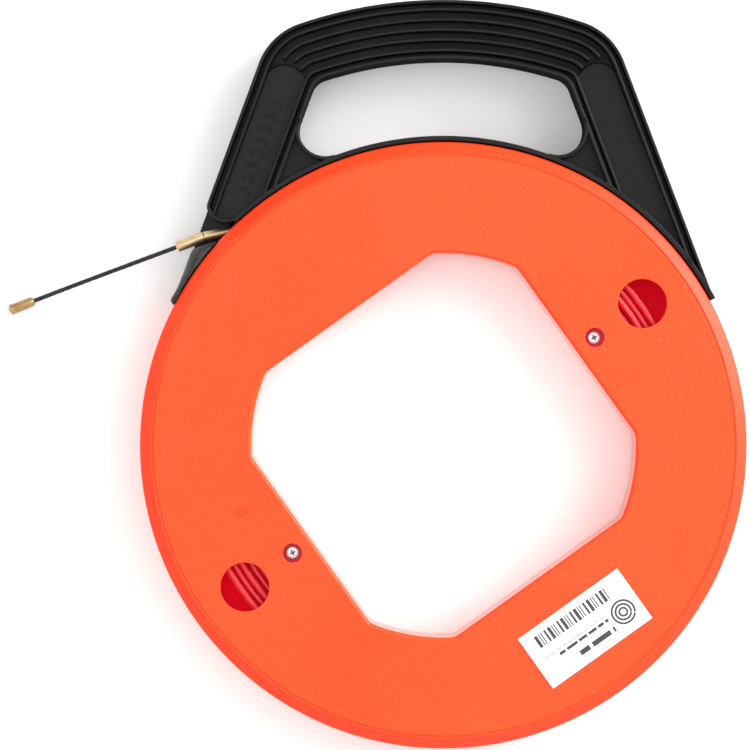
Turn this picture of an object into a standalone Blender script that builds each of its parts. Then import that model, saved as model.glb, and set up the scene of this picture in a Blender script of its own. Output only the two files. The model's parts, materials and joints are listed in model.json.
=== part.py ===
"""Fish tape reel: a round case that spins inside a ribbed carrying handle.

The reel lies on its rear face. +Z is the normal of the front face, +Y runs from the reel
towards the grip, and the origin is under the middle of the case and handle together.
"""
import math

import bmesh
import bpy
from mathutils import Matrix, Vector

MM = 0.001
GAP = 0.3 * MM                     # clearance between pieces that touch

# Case, round the reel's axis
REEL_RADIUS = 152.0 * MM
CASE_DEPTH = 36.0 * MM
MID_Z = CASE_DEPTH / 2             # parting plane of the shells and level of the tape outlet
WALL = 2.5 * MM                    # face plate and hub wall
RIM_WALL = 5.0 * MM                # rim lip that the handle's tongue hooks behind
RIM_SLOT = 7.0 * MM                # open slot between the two rims
CHAMFER_WIDTH = 6.0 * MM
CHAMFER_DEPTH = 5.0 * MM
OPENING_RADIUS = 96.0 * MM         # round stretches of the central opening
OPENING_FLAT = 81.3 * MM           # distance of its four flats from the axis
OPENING_EDGE = 1.5 * MM            # small chamfer round the opening
REEL_TURN = math.radians(35.2)     # direction of the first flat, window and screw
WINDOW_RADIUS = 12.25 * MM
WINDOW_CENTRE = 122.0 * MM
SCREW_CENTRE = 92.75 * MM
BOSS_RADIUS = 6.4 * MM
COUNTERBORE_RADIUS = 4.8 * MM
COUNTERBORE_FLOOR = 27.0 * MM
SCREW_HOLE_RADIUS = 1.9 * MM
SCREW_HOLE_FLOOR = 5.0 * MM
CUT_TOP = CASE_DEPTH * 1.1         # cutters end clear above the front face

# Case screws
SCREW_SHANK_RADIUS = 1.5 * MM
SCREW_HEAD_RADIUS = 2.9 * MM
SCREW_HEAD_HEIGHT = 2.2 * MM
SCREW_TIP_Z = 7.0 * MM
RECESS_WIDTH = 0.8 * MM            # cross recess in the head
RECESS_SPAN = 3.4 * MM
RECESS_DEPTH = 1.3 * MM

# Cable, wound between the two face plates
CABLE_RADIUS = 2.0 * MM
COIL_INNER_RADIUS = 101.0 * MM
COIL_OUTER_RADIUS = 126.0 * MM
COIL_DEPTH = 20.0 * MM
ANCHOR_TURN = REEL_TURN + math.pi / 2
ANCHOR_RADIUS = 93.5 * MM
ANCHOR_SLEEVE_RADIUS = 3.4 * MM
ANCHOR_SLEEVE_LENGTH = 12.0 * MM
ANCHOR_POST = (1.8 * MM, 3.0 * MM)
ANCHOR_POST_TOP = 22.0 * MM

# Label on the front face
LABEL_LENGTH = 61.0 * MM
LABEL_WIDTH = 30.4 * MM
LABEL_THICKNESS = 0.2 * MM
LABEL_CENTRE = 115.6 * MM
LABEL_TURN = math.radians(-52.6)

# Handle: one moulding, an even band that follows the reel over the grip
HANDLE_BOTTOM = 4.0 * MM
HANDLE_TOP = 32.0 * MM
GRIP_RADIUS = 223.05 * MM          # outer edge of the grip, concentric with the reel
LEG_DISTANCE = 152.75 * MM         # outer edge of each leg from the reel's axis
LEG_TILT = math.radians(20.46)     # normal of the right leg's outer edge
BAND_WIDTH = 29.6 * MM
SHOULDER_RADIUS = 33.0 * MM        # outer corner between grip and leg
HOLE_SHOULDER_RADIUS = 10.0 * MM   # the same corner of the hand hole
HOLE_FOOT_RADIUS = 13.2 * MM       # lower corner of the hand hole
HOLE_FOOT_RISE = 127.8 * MM        # its centre, measured along the leg
RAIL_INNER = 152.4 * MM            # curved rail that hugs the case's rim
RAIL_OUTER = 154.9 * MM
RAIL_POCKET = 155.3 * MM           # pockets stop short of the rail
RAIL_START = math.radians(27.9)
TONGUE_WEB = 6.2 * MM              # web of the tongue, inside the rim slot
TONGUE_HEAD = 13.0 * MM            # its hooked head, behind the rim lips
TONGUE_HEAD_INNER = 143.2 * MM
TONGUE_HEAD_OUTER = 146.6 * MM
TONGUE_START = math.radians(30.0)
RIM_RIB = 1.4 * MM                 # wall along the handle's outer edge
RIB_OFFSETS = (4.8 * MM, 9.95 * MM, 14.95 * MM, 19.95 * MM, 25.2 * MM)
RIB = 1.4 * MM
INNER_WALL = 1.6 * MM              # wall along the hand hole
GRIP_WEB = 3.0 * MM                # middle web under the ribs
PANEL_WEB = 13.0 * MM              # thicker web in the leg panels
PANEL_TOP = (74.0 * MM, 189.0 * MM)   # where a leg panel ends, at the leg's middle
PANEL_TOP_TURN = math.radians(127.0)  # normal of that end
PANEL_TOP_STEP = 0.8 * MM          # it stays this far below the grip's pockets
TRIANGLE_WALL = 2.0 * MM

# Tape outlet at the foot of the left leg; all in plan, from the reel's axis
OUTLET_TURN = math.radians(12.3)   # slope of the tape as it leaves
OUTLET_X = -119.82 * MM            # joint between tape ferrule and leader socket
OUTLET_Y = 105.4 * MM
OUTLET_FLOOR = 12.0 * MM
TUNNEL_HALF_WIDTH = 3.0 * MM
TUNNEL_DEPTH = 6.8 * MM
TUNNEL_START = -20.0 * MM          # along the tape, from that joint into the case
TUNNEL_END = 70.0 * MM

# Tape end
LEAD_LENGTH = 98.0 * MM
LEAD_STEPS = 8
FERRULE_RADIUS = 2.6 * MM
FERRULE_NOSE_RADIUS = 2.1 * MM
FERRULE_LENGTH = 14.5 * MM
CORE_RADIUS = 1.0 * MM
CORE_LENGTH = 5.0 * MM
SOCKET_RADIUS = 2.75 * MM
SOCKET_LENGTH = 14.4 * MM
SOCKET_TURN = math.radians(200.3)
LEADER_RADIUS = 1.125 * MM
LEADER_SPAN = 77.4 * MM            # distance between the two sockets, in plan
LEADER_TURN = math.radians(199.86)
LEADER_POINTS = 18
END_TURN = math.radians(201.0)
END_SOCKET_RADIUS = 2.6 * MM
END_RIM_RADIUS = 2.85 * MM
END_SOCKET_LENGTH = 12.6 * MM
END_Z = 3.0 * MM                   # the end socket lies on the ground
EYE_LENGTH = 6.6 * MM
EYE_WIDTH = 5.0 * MM
EYE_WIRE = 0.55 * MM

REEL_Y = (REEL_RADIUS - GRIP_RADIUS) / 2
REEL_CENTRE = Vector((0.0, REEL_Y, 0.0))
Z_AXIS = Vector((0.0, 0.0, 1.0))
SHELL_STEP = math.radians(4.0)     # facets round the case
ARC_STEP = math.radians(3.0)       # facets along the handle's arcs


def clear_scene():
    for old in list(bpy.data.objects):
        bpy.data.objects.remove(old, do_unlink=True)


def material(name, colour, roughness, metallic=0.0):
    mat = bpy.data.materials.new(name)
    mat.use_nodes = True
    shader = mat.node_tree.nodes["Principled BSDF"]
    shader.inputs["Base Color"].default_value = (*colour, 1.0)
    shader.inputs["Roughness"].default_value = roughness
    shader.inputs["Metallic"].default_value = metallic
    mat.diffuse_color = (*colour, 1.0)
    return mat


def add_empty(name, location, turn=0.0):
    """An axis that pieces are parented to."""
    empty = bpy.data.objects.new(name, None)
    empty.location = location
    empty.rotation_euler.z = turn
    bpy.context.scene.collection.objects.link(empty)
    return empty


def add_object(name, bm, parent, mat=None, smooth_angle=30.0):
    """Turn a bmesh, drawn in its parent's frame, into an object with outward faces."""
    bmesh.ops.recalc_face_normals(bm, faces=bm.faces)
    mesh = bpy.data.meshes.new(name)
    bm.to_mesh(mesh)
    bm.free()
    obj = bpy.data.objects.new(name, mesh)
    obj.parent = parent
    bpy.context.scene.collection.objects.link(obj)
    if mat:
        mesh.materials.append(mat)
        mesh.shade_smooth()
        mesh.set_sharp_from_angle(angle=math.radians(smooth_angle))
    return obj


def boolean(obj, operation, name, bm):
    """Join a bmesh to an object, or cut it away, by a helper in the same frame."""
    tool = add_object(name, bm, obj.parent)
    tool.hide_render = True
    tool.display_type = 'WIRE'
    mod = obj.modifiers.new(name, 'BOOLEAN')
    mod.operation = operation
    mod.solver = 'EXACT'
    mod.object = tool


def polar(radius, angle):
    return Vector((radius * math.cos(angle), radius * math.sin(angle)))


def arc(centre, radius, start, end, step=ARC_STEP):
    """Points of a circular arc, both ends included."""
    count = max(2, math.ceil(abs(end - start) / step))
    return [centre + polar(radius, start + (end - start) * i / count) for i in range(count + 1)]


def add_prism(bm, outline, low, high):
    """Extrude a closed plan outline between two heights."""
    rings = [[bm.verts.new((p.x, p.y, z)) for p in outline] for z in (low, high)]
    count = len(outline)
    for i in range(count):
        j = (i + 1) % count
        bm.faces.new((rings[0][i], rings[0][j], rings[1][j], rings[1][i]))
    bm.faces.new(rings[0])
    bm.faces.new(rings[1])


def add_box(bm, size, matrix):
    made = bmesh.ops.create_cube(bm, size=1.0)
    bmesh.ops.scale(bm, vec=size, verts=made["verts"])
    bmesh.ops.transform(bm, matrix=matrix, verts=made["verts"])


def add_turned(bm, profile, steps=24, matrix=Matrix()):
    """Turn a closed (radius, height) profile round Z; points on the axis become poles."""
    rings = []
    for radius, z in profile:
        if radius == 0.0:
            rings.append([bm.verts.new(matrix @ Vector((0.0, 0.0, z)))])
            continue
        ring = [polar(radius, 2 * math.pi * i / steps) for i in range(steps)]
        rings.append([bm.verts.new(matrix @ Vector((p.x, p.y, z))) for p in ring])
    closed = profile[0][0] > 0.0
    pairs = list(zip(rings, rings[1:] + rings[:1])) if closed else list(zip(rings, rings[1:]))
    for lower, upper in pairs:
        for i in range(steps):
            j = (i + 1) % steps
            corners = [ring[k % len(ring)] for ring, k in ((lower, i), (lower, j), (upper, j), (upper, i))]
            bm.faces.new(list(dict.fromkeys(corners)))


def along(point, direction):
    """A matrix that stands local +Z along a direction, at a point."""
    turn = Z_AXIS.rotation_difference(direction).to_matrix().to_4x4()
    return Matrix.Translation(point) @ turn


def tube(name, parent, points, radius, mat):
    """A cable as a curve with a round bevel and closed ends."""
    curve = bpy.data.curves.new(name, 'CURVE')
    curve.dimensions = '3D'
    curve.bevel_depth = radius
    curve.bevel_resolution = 2
    curve.use_fill_caps = True
    spline = curve.splines.new('POLY')
    spline.points.add(len(points) - 1)
    for target, point in zip(spline.points, points):
        target.co = (*point, 1.0)
    obj = bpy.data.objects.new(name, curve)
    obj.parent = parent
    curve.materials.append(mat)
    bpy.context.scene.collection.objects.link(obj)
    return obj


# ---------------------------------------------------------------- case

def opening_radius(angle, flat, radius):
    """Distance from the axis to the central opening's outline: a circle with four flats."""
    off = (angle - REEL_TURN + math.pi / 4) % (math.pi / 2) - math.pi / 4
    return min(radius, flat / math.cos(off))


def shell_angles():
    """Directions of the case's facets, with one on each corner of the opening."""
    corner = math.acos(OPENING_FLAT / OPENING_RADIUS)
    half = math.pi / 4
    stops = (-half, -corner, 0.0, corner, half)
    angles = []
    for quadrant in range(4):
        middle = REEL_TURN + quadrant * math.pi / 2
        for low, high in zip(stops, stops[1:]):
            count = math.ceil((high - low) / SHELL_STEP)
            angles += [middle + low + (high - low) * i / count for i in range(count)]
    return angles


def shell_section(angle):
    """Section of the front shell at one direction, as (radius, height) points."""
    hub = opening_radius(angle, OPENING_FLAT, OPENING_RADIUS)
    hub_edge = opening_radius(angle, OPENING_FLAT + OPENING_EDGE, OPENING_RADIUS + OPENING_EDGE)
    hub_back = opening_radius(angle, OPENING_FLAT + WALL, OPENING_RADIUS + WALL)
    parting = MID_Z + GAP / 2
    rim_inner = REEL_RADIUS - RIM_WALL
    inside = CASE_DEPTH - WALL
    return [
        (hub, parting),
        (hub, CASE_DEPTH - OPENING_EDGE),
        (hub_edge, CASE_DEPTH),
        (REEL_RADIUS - CHAMFER_WIDTH, CASE_DEPTH),
        (REEL_RADIUS, CASE_DEPTH - CHAMFER_DEPTH),
        (REEL_RADIUS, MID_Z + RIM_SLOT / 2),
        (rim_inner, MID_Z + RIM_SLOT / 2),
        (rim_inner, inside - 1.5 * MM),
        (rim_inner - 1.8 * MM, inside),
        (hub_back, inside),
        (hub_back, parting),
    ]


def add_shell_ring(bm, mirrored):
    rings = []
    for angle in shell_angles():
        ring = []
        for radius, z in shell_section(angle):
            p = polar(radius, angle)
            ring.append(bm.verts.new((p.x, p.y, CASE_DEPTH - z if mirrored else z)))
        rings.append(ring)
    for here, there in zip(rings, rings[1:] + rings[:1]):
        for i in range(len(here)):
            j = (i + 1) % len(here)
            bm.faces.new((here[i], here[j], there[j], there[i]))


def spot_at(radius, angle, z=0.0):
    """A point from its distance and direction from the reel's axis."""
    p = polar(radius, angle)
    return Vector((p.x, p.y, z))


def screw_spots():
    return [spot_at(SCREW_CENTRE, REEL_TURN + turn) for turn in (0.0, math.pi)]


def add_cylinder(bm, radius, low, high, steps, spot):
    add_turned(bm, [(0.0, low), (radius, low), (radius, high), (0.0, high)], steps, Matrix.Translation(spot))


def build_front_shell(parent, mat):
    bm = bmesh.new()
    add_shell_ring(bm, mirrored=False)
    shell = add_object("front_shell", bm, parent, mat)

    bm = bmesh.new()
    for spot in screw_spots():
        add_cylinder(bm, BOSS_RADIUS, MID_Z + GAP / 2, CASE_DEPTH - WALL / 2, 28, spot)
    boolean(shell, 'UNION', "front_boss_tool", bm)

    bm = bmesh.new()
    for spot in screw_spots():
        bore = [
            (0.0, 0.0),
            (SCREW_HOLE_RADIUS, 0.0),
            (SCREW_HOLE_RADIUS, COUNTERBORE_FLOOR),
            (COUNTERBORE_RADIUS, COUNTERBORE_FLOOR),
            (COUNTERBORE_RADIUS, CUT_TOP),
            (0.0, CUT_TOP),
        ]
        add_turned(bm, bore, 24, Matrix.Translation(spot))
    for turn in (0.0, math.pi):
        add_cylinder(bm, WINDOW_RADIUS, MID_Z, CUT_TOP, 40, spot_at(WINDOW_CENTRE, REEL_TURN + turn))
    boolean(shell, 'DIFFERENCE', "front_hole_tool", bm)


def anchor_frame():
    """Local +X runs along the cable's inner end, +Y away from the axis."""
    point = spot_at(ANCHOR_RADIUS, ANCHOR_TURN, MID_Z)
    return Matrix.Translation(point) @ Matrix.Rotation(ANCHOR_TURN - math.pi / 2, 4, 'Z')


def build_rear_shell(parent, mat):
    bm = bmesh.new()
    add_shell_ring(bm, mirrored=True)
    shell = add_object("rear_shell", bm, parent, mat)

    bm = bmesh.new()
    floor = WALL / 2
    for spot in screw_spots():
        add_cylinder(bm, BOSS_RADIUS, floor, MID_Z - GAP / 2, 28, spot)
    # Two forked posts hold the sleeve on the cable's inner end.
    post = Vector((*ANCHOR_POST, ANCHOR_POST_TOP - floor))
    out = ANCHOR_SLEEVE_LENGTH / 2 + GAP + post.x / 2
    aside = CABLE_RADIUS + GAP + post.y / 2
    middle = (ANCHOR_POST_TOP + floor) / 2 - MID_Z
    for x in (-out, out):
        for y in (-aside, aside):
            add_box(bm, post, anchor_frame() @ Matrix.Translation(Vector((x, y, middle))))
    boolean(shell, 'UNION', "rear_boss_tool", bm)

    bm = bmesh.new()
    for spot in screw_spots():
        add_cylinder(bm, SCREW_HOLE_RADIUS, SCREW_HOLE_FLOOR, CASE_DEPTH, 24, spot)
    boolean(shell, 'DIFFERENCE', "rear_hole_tool", bm)


def build_screw(name, spot, parent, mat):
    seat = COUNTERBORE_FLOOR + GAP
    top = seat + SCREW_HEAD_HEIGHT
    profile = [
        (0.0, SCREW_TIP_Z),
        (SCREW_SHANK_RADIUS * 0.3, SCREW_TIP_Z),
        (SCREW_SHANK_RADIUS, SCREW_TIP_Z + 2.0 * MM),
        (SCREW_SHANK_RADIUS, seat),
        (SCREW_HEAD_RADIUS, seat),
        (SCREW_HEAD_RADIUS, seat + SCREW_HEAD_HEIGHT * 0.5),
        (SCREW_HEAD_RADIUS * 0.8, seat + SCREW_HEAD_HEIGHT * 0.88),
        (SCREW_HEAD_RADIUS * 0.4, top),
        (0.0, top),
    ]
    bm = bmesh.new()
    add_turned(bm, profile, 24, Matrix.Translation(spot))
    screw = add_object(name, bm, parent, mat)
    for letter, size in (("a", (RECESS_SPAN, RECESS_WIDTH)), ("b", (RECESS_WIDTH, RECESS_SPAN))):
        bm = bmesh.new()
        add_box(bm, Vector((*size, RECESS_DEPTH * 2)), Matrix.Translation(spot + Z_AXIS * top))
        boolean(screw, 'DIFFERENCE', f"{name}_recess_{letter}", bm)


def build_label(parent, mat):
    bm = bmesh.new()
    spot = spot_at(LABEL_CENTRE, LABEL_TURN, CASE_DEPTH + GAP + LABEL_THICKNESS / 2)
    matrix = Matrix.Translation(spot) @ Matrix.Rotation(REEL_TURN, 4, 'Z')
    add_box(bm, Vector((LABEL_LENGTH, LABEL_WIDTH, LABEL_THICKNESS)), matrix)
    add_object("label_sticker", bm, parent, mat)


def build_coil(parent, mat):
    """The wound cable as one solid ring with rounded corners."""
    low = MID_Z - COIL_DEPTH / 2
    high = MID_Z + COIL_DEPTH / 2
    r = CABLE_RADIUS
    profile = [
        (COIL_INNER_RADIUS, low + r),
        (COIL_INNER_RADIUS + r, low),
        (COIL_OUTER_RADIUS - r, low),
        (COIL_OUTER_RADIUS, low + r),
        (COIL_OUTER_RADIUS, high - r),
        (COIL_OUTER_RADIUS - r, high),
        (COIL_INNER_RADIUS + r, high),
        (COIL_INNER_RADIUS, high - r),
    ]
    bm = bmesh.new()
    add_turned(bm, profile, 72)
    add_object("cable_coil", bm, parent, mat)


def build_cable_anchor(parent, cable_mat, sleeve_mat):
    """The inner end of the cable, straight off the coil into its crimped sleeve."""
    frame = anchor_frame()
    half = ANCHOR_SLEEVE_LENGTH / 2
    r = ANCHOR_SLEEVE_RADIUS
    bm = bmesh.new()
    lower = [(0.0, -half), (r * 0.85, -half), (r, -half * 0.85)]
    upper = [(radius, -x) for radius, x in reversed(lower)]
    add_turned(bm, lower + upper, 20, frame @ Matrix.Rotation(math.pi / 2, 4, 'Y'))
    add_object("anchor_sleeve", bm, parent, sleeve_mat)
    start = half + GAP
    coil_side = COIL_INNER_RADIUS - CABLE_RADIUS - GAP
    end = math.sqrt(coil_side ** 2 - ANCHOR_RADIUS ** 2) - 2.0 * MM
    points = [frame @ Vector((start + (end - start) * i / 4, 0.0, 0.0)) for i in range(5)]
    tube("cable_tail", parent, points, CABLE_RADIUS, cable_mat)


# ---------------------------------------------------------------- handle

def leg_end(offset, radius):
    """Direction in which the line at an offset inside the right leg's edge meets a circle."""
    return LEG_TILT + math.acos((LEG_DISTANCE - offset) / radius)


def shoulder(offset, corner):
    """Centre of the corner between leg and grip, and its direction from the axis."""
    across = LEG_DISTANCE - offset - corner
    reach = GRIP_RADIUS - offset - corner
    turn = LEG_TILT + math.acos(across / reach)
    return polar(reach, turn), turn


def half_arch(offset, corner):
    """Right half of the line at an offset inside the handle's edge, from leg to top."""
    centre, turn = shoulder(offset, corner)
    points = arc(centre, corner, LEG_TILT, turn, ARC_STEP * 3)
    return points[:-1] + arc(Vector((0, 0)), GRIP_RADIUS - offset, turn, math.pi / 2)


def mirror(points):
    """The left half, in the opposite order."""
    return [Vector((-p.x, p.y)) for p in reversed(points)]


def arch(offset, corner, end_radius):
    right = [polar(end_radius, leg_end(offset, end_radius))] + half_arch(offset, corner)
    return right + mirror(right)[1:]


def corner_at(offset):
    return max(SHOULDER_RADIUS - offset, 4.0 * MM)


def handle_outline():
    """Plan of the whole moulding: rail, legs and grip, without the hand hole."""
    outer = leg_end(0.0, RAIL_OUTER)
    right = arc(Vector((0, 0)), RAIL_OUTER, RAIL_START + math.radians(0.4), outer)[:-1]
    right += [polar(RAIL_OUTER, outer)] + half_arch(0.0, SHOULDER_RADIUS)
    inner = arc(Vector((0, 0)), RAIL_INNER, math.pi - RAIL_START, RAIL_START, ARC_STEP)
    return right + mirror(right)[1:] + inner


def hole_foot():
    """Centre of the hand hole's lower right corner."""
    across = LEG_DISTANCE - BAND_WIDTH - HOLE_FOOT_RADIUS
    normal = polar(1.0, LEG_TILT)
    return normal * across + Vector((-normal.y, normal.x)) * HOLE_FOOT_RISE


def hand_hole_outline():
    corner = arc(hole_foot(), HOLE_FOOT_RADIUS, math.radians(-82), LEG_TILT, ARC_STEP * 4)
    right = corner + half_arch(BAND_WIDTH, HOLE_SHOULDER_RADIUS)
    bottom = math.radians(68.0)
    return right + mirror(right)[1:] + arc(Vector((0, 0)), RAIL_OUTER, math.pi - bottom, bottom)


def grip_pocket_outline():
    """Hollow over the grip, between the first and the last rib."""
    outer = RIB_OFFSETS[0] + RIB / 2
    inner = RIB_OFFSETS[-1] - RIB / 2
    top = trimmed(half_arch(outer, corner_at(outer)), above=True)
    low = trimmed(half_arch(inner, corner_at(inner)), above=True)
    right = top + mirror(top)[1:]
    left = low + mirror(low)[1:]
    return right + left[::-1]


def side_of_split(point):
    """Positive above the line across the leg at which the grip's pockets end."""
    return (point - Vector(PANEL_TOP)).dot(polar(1.0, PANEL_TOP_TURN))


def trimmed(points, above):
    """The part of an open line on one side of the split, cut exactly at the split."""
    kept = []
    for here, there in zip(points, points[1:]):
        a = side_of_split(here)
        b = side_of_split(there)
        if (a > 0) == above:
            kept.append(here)
        if (a > 0) != (b > 0):
            kept.append(here.lerp(there, a / (a - b)))
    if (side_of_split(points[-1]) > 0) == above:
        kept.append(points[-1])
    return kept


def panel_outline():
    """Hollow of the right leg, from the split down to the rail."""
    outer = RIB_OFFSETS[0] + RIB / 2
    inner = RIB_OFFSETS[-1] - RIB / 2
    low_outer = leg_end(outer, RAIL_POCKET)
    low_inner = leg_end(inner, RAIL_POCKET)
    outside = trimmed([polar(RAIL_POCKET, low_outer)] + half_arch(outer, corner_at(outer)), above=False)
    inside = trimmed([polar(RAIL_POCKET, low_inner)] + half_arch(inner, corner_at(inner)), above=False)
    for line in (outside, inside):
        line[-1] = line[-1] + (line[-2] - line[-1]).normalized() * PANEL_TOP_STEP
    rail = arc(Vector((0, 0)), RAIL_POCKET, low_inner, low_outer)
    return outside + inside[::-1] + rail[1:-1]


def strip_outline(outer, inner):
    """Hollow that runs from rail to rail over the grip, between two offsets."""
    return arch(outer, corner_at(outer), RAIL_POCKET) + arch(inner, corner_at(inner), RAIL_POCKET)[::-1]


def triangle_outline():
    """Hollow between the leg, the hand hole's lower corner and the rail."""
    across = LEG_DISTANCE - BAND_WIDTH
    lower = polar(RAIL_POCKET, LEG_TILT + math.acos(across / RAIL_POCKET))
    centre = hole_foot()
    radius = HOLE_FOOT_RADIUS + TRIANGLE_WALL
    start = LEG_TILT - math.acos((radius - TRIANGLE_WALL) / radius)
    lip = arc(centre, radius, start, math.radians(-68), ARC_STEP * 4)
    last = lip[-1]
    rail = arc(Vector((0, 0)), RAIL_POCKET, math.atan2(last.y, last.x), math.atan2(lower.y, lower.x))
    return lip + rail


def rib_outline(offset):
    """A free rib over the grip, as a thin strip with its ends in the open."""
    outside = trimmed(half_arch(offset - RIB / 2, corner_at(offset - RIB / 2)), above=True)
    inside = trimmed(half_arch(offset + RIB / 2, corner_at(offset + RIB / 2)), above=True)
    for line in (outside, inside):
        line[0] = line[0].lerp(line[1], 0.8)
    outer = outside + mirror(outside)[1:]
    inner = inside + mirror(inside)[1:]
    return outer + inner[::-1]


def outlet_block_outline():
    """Solid foot of the left leg, round the tape outlet."""
    top = [(-119.0, 119.0), (-115.8, 118.2), (-112.3, 115.6), (-105.0, 115.4), (-103.4, 113.6)]
    foot = math.radians(150.6)
    inner = arc(Vector((0, 0)), RAIL_INNER + 1.0 * MM, math.radians(133.0), foot)
    edge = leg_end(0.7 * MM, RAIL_OUTER)
    low = polar(RAIL_OUTER, edge)
    return [Vector(p) * MM for p in top] + inner + [Vector((-low.x, low.y))]


def outlet_recess_outline():
    """Open notch in front of the tape: under the leg's rounded end, above the foot."""
    leg_end_below = [(-140.0, 122.0), (-119.4, 122.0), (-117.2, 116.6), (-114.1, 113.1), (-109.1, 111.8)]
    behind_rail = [(-101.5, 111.8), (-112.0, 102.4)]
    foot_top = [(-124.8, 99.3), (-140.0, 95.6)]
    return [Vector(p) * MM for p in leg_end_below + behind_rail + foot_top]


def add_tongue(bm):
    """Web and hooked head that hold the handle in the reel's rim slot."""
    web = TONGUE_WEB / 2
    head = TONGUE_HEAD / 2
    root = RAIL_INNER + 0.8 * MM
    lower = [(TONGUE_HEAD_INNER, -head), (TONGUE_HEAD_OUTER, -head), (TONGUE_HEAD_OUTER, -web), (root, -web)]
    section = lower + [(radius, -z) for radius, z in reversed(lower)]
    count = 40
    rings = []
    for i in range(count + 1):
        angle = TONGUE_START + (math.pi - 2 * TONGUE_START) * i / count
        rings.append([bm.verts.new(spot_at(radius, angle, MID_Z + z)) for radius, z in section])
    for here, there in zip(rings, rings[1:]):
        for i in range(len(section)):
            j = (i + 1) % len(section)
            bm.faces.new((here[i], here[j], there[j], there[i]))
    bm.faces.new(rings[0])
    bm.faces.new(rings[-1])


def add_front_and_back(bm, outline, web):
    """The same hollow in both faces, leaving a web at the middle."""
    add_prism(bm, outline, MID_Z + web / 2, CASE_DEPTH)
    add_prism(bm, outline, 0.0, MID_Z - web / 2)


def build_handle(parent, mat):
    bm = bmesh.new()
    add_prism(bm, handle_outline(), HANDLE_BOTTOM, HANDLE_TOP)
    handle = add_object("handle", bm, parent, mat)

    bm = bmesh.new()
    add_tongue(bm)
    boolean(handle, 'UNION', "tongue_tool", bm)

    bm = bmesh.new()
    add_prism(bm, hand_hole_outline(), 0.0, CASE_DEPTH)
    edge_channel = strip_outline(RIM_RIB, RIB_OFFSETS[0] - RIB / 2)
    inner_channel = strip_outline(RIB_OFFSETS[-1] + RIB / 2, BAND_WIDTH - INNER_WALL)
    for outline in (edge_channel, inner_channel, grip_pocket_outline()):
        add_front_and_back(bm, outline, GRIP_WEB)
    for outline in (panel_outline(), triangle_outline()):
        add_front_and_back(bm, outline, PANEL_WEB)
        add_front_and_back(bm, mirror(outline), PANEL_WEB)
    boolean(handle, 'DIFFERENCE', "pocket_tool", bm)

    bm = bmesh.new()
    for offset in RIB_OFFSETS[1:-1]:
        add_prism(bm, rib_outline(offset), HANDLE_BOTTOM, HANDLE_TOP)
    boolean(handle, 'UNION', "rib_tool", bm)

    bm = bmesh.new()
    inset = 0.4 * MM
    add_prism(bm, outlet_block_outline(), HANDLE_BOTTOM + inset, HANDLE_TOP - inset)
    boolean(handle, 'UNION', "outlet_block_tool", bm)

    bm = bmesh.new()
    add_prism(bm, outlet_recess_outline(), OUTLET_FLOOR, CASE_DEPTH)
    boolean(handle, 'DIFFERENCE', "outlet_recess_tool", bm)

    bm = bmesh.new()
    middle = (TUNNEL_START + TUNNEL_END) / 2
    matrix = outlet_frame() @ Matrix.Translation(Vector((middle, 0.0, 0.0)))
    add_box(bm, Vector((TUNNEL_END - TUNNEL_START, 2 * TUNNEL_HALF_WIDTH, TUNNEL_DEPTH)), matrix)
    boolean(handle, 'DIFFERENCE', "tunnel_tool", bm)


# ---------------------------------------------------------------- tape end
# These pieces are drawn in the outlet's frame: +X runs along the tape, into the case.

def outlet_frame():
    """The outlet's frame, seen from the handle's."""
    return Matrix.Translation(Vector((OUTLET_X, OUTLET_Y, MID_Z))) @ Matrix.Rotation(OUTLET_TURN, 4, 'Z')


def outlet_direction(turn):
    """A level direction, given by its angle in plan, in the outlet's frame."""
    p = polar(1.0, turn - OUTLET_TURN)
    return Vector((p.x, p.y, 0.0))


def build_tape_inside(parent, cable_mat, core_mat, brass_mat):
    start = GAP
    end = start + FERRULE_LENGTH
    r = FERRULE_RADIUS
    bm = bmesh.new()
    profile = [(0.0, start), (r * 0.86, start), (r, start + 0.4 * MM), (FERRULE_NOSE_RADIUS, end), (0.0, end)]
    add_turned(bm, profile, 20, Matrix.Rotation(math.pi / 2, 4, 'Y'))
    add_object("tape_ferrule", bm, parent, brass_mat)

    core_start = end + GAP
    core_end = core_start + CORE_LENGTH
    tube("tape_core", parent, [Vector((x, 0.0, 0.0)) for x in (core_start, core_end)], CORE_RADIUS, core_mat)

    lead_start = core_end + GAP
    lead = [Vector((lead_start + LEAD_LENGTH * i / LEAD_STEPS, 0.0, 0.0)) for i in range(LEAD_STEPS + 1)]
    tube("tape_lead", parent, lead, CABLE_RADIUS, cable_mat)


def leader_ends():
    """Start and end of the leader, with the directions in which it leaves and arrives."""
    leave = outlet_direction(SOCKET_TURN)
    arrive = outlet_direction(END_TURN)
    start = leave * (SOCKET_LENGTH + 2 * GAP)
    end = start + outlet_direction(LEADER_TURN) * LEADER_SPAN
    end.z = END_Z - MID_Z
    return start, leave, end, arrive


def leader_route():
    """A stiff leader that sinks in one slow S from the outlet to the ground."""
    start, leave, end, arrive = leader_ends()
    points = []
    for i in range(LEADER_POINTS):
        t = i / (LEADER_POINTS - 1)
        settled = 3 * t ** 2 - 2 * t ** 3
        leaving = t ** 3 - 2 * t ** 2 + t
        arriving = t ** 3 - t ** 2
        bend = (leave * leaving + arrive * arriving) * LEADER_SPAN
        points.append(start.lerp(end, settled) + bend)
    return points


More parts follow.
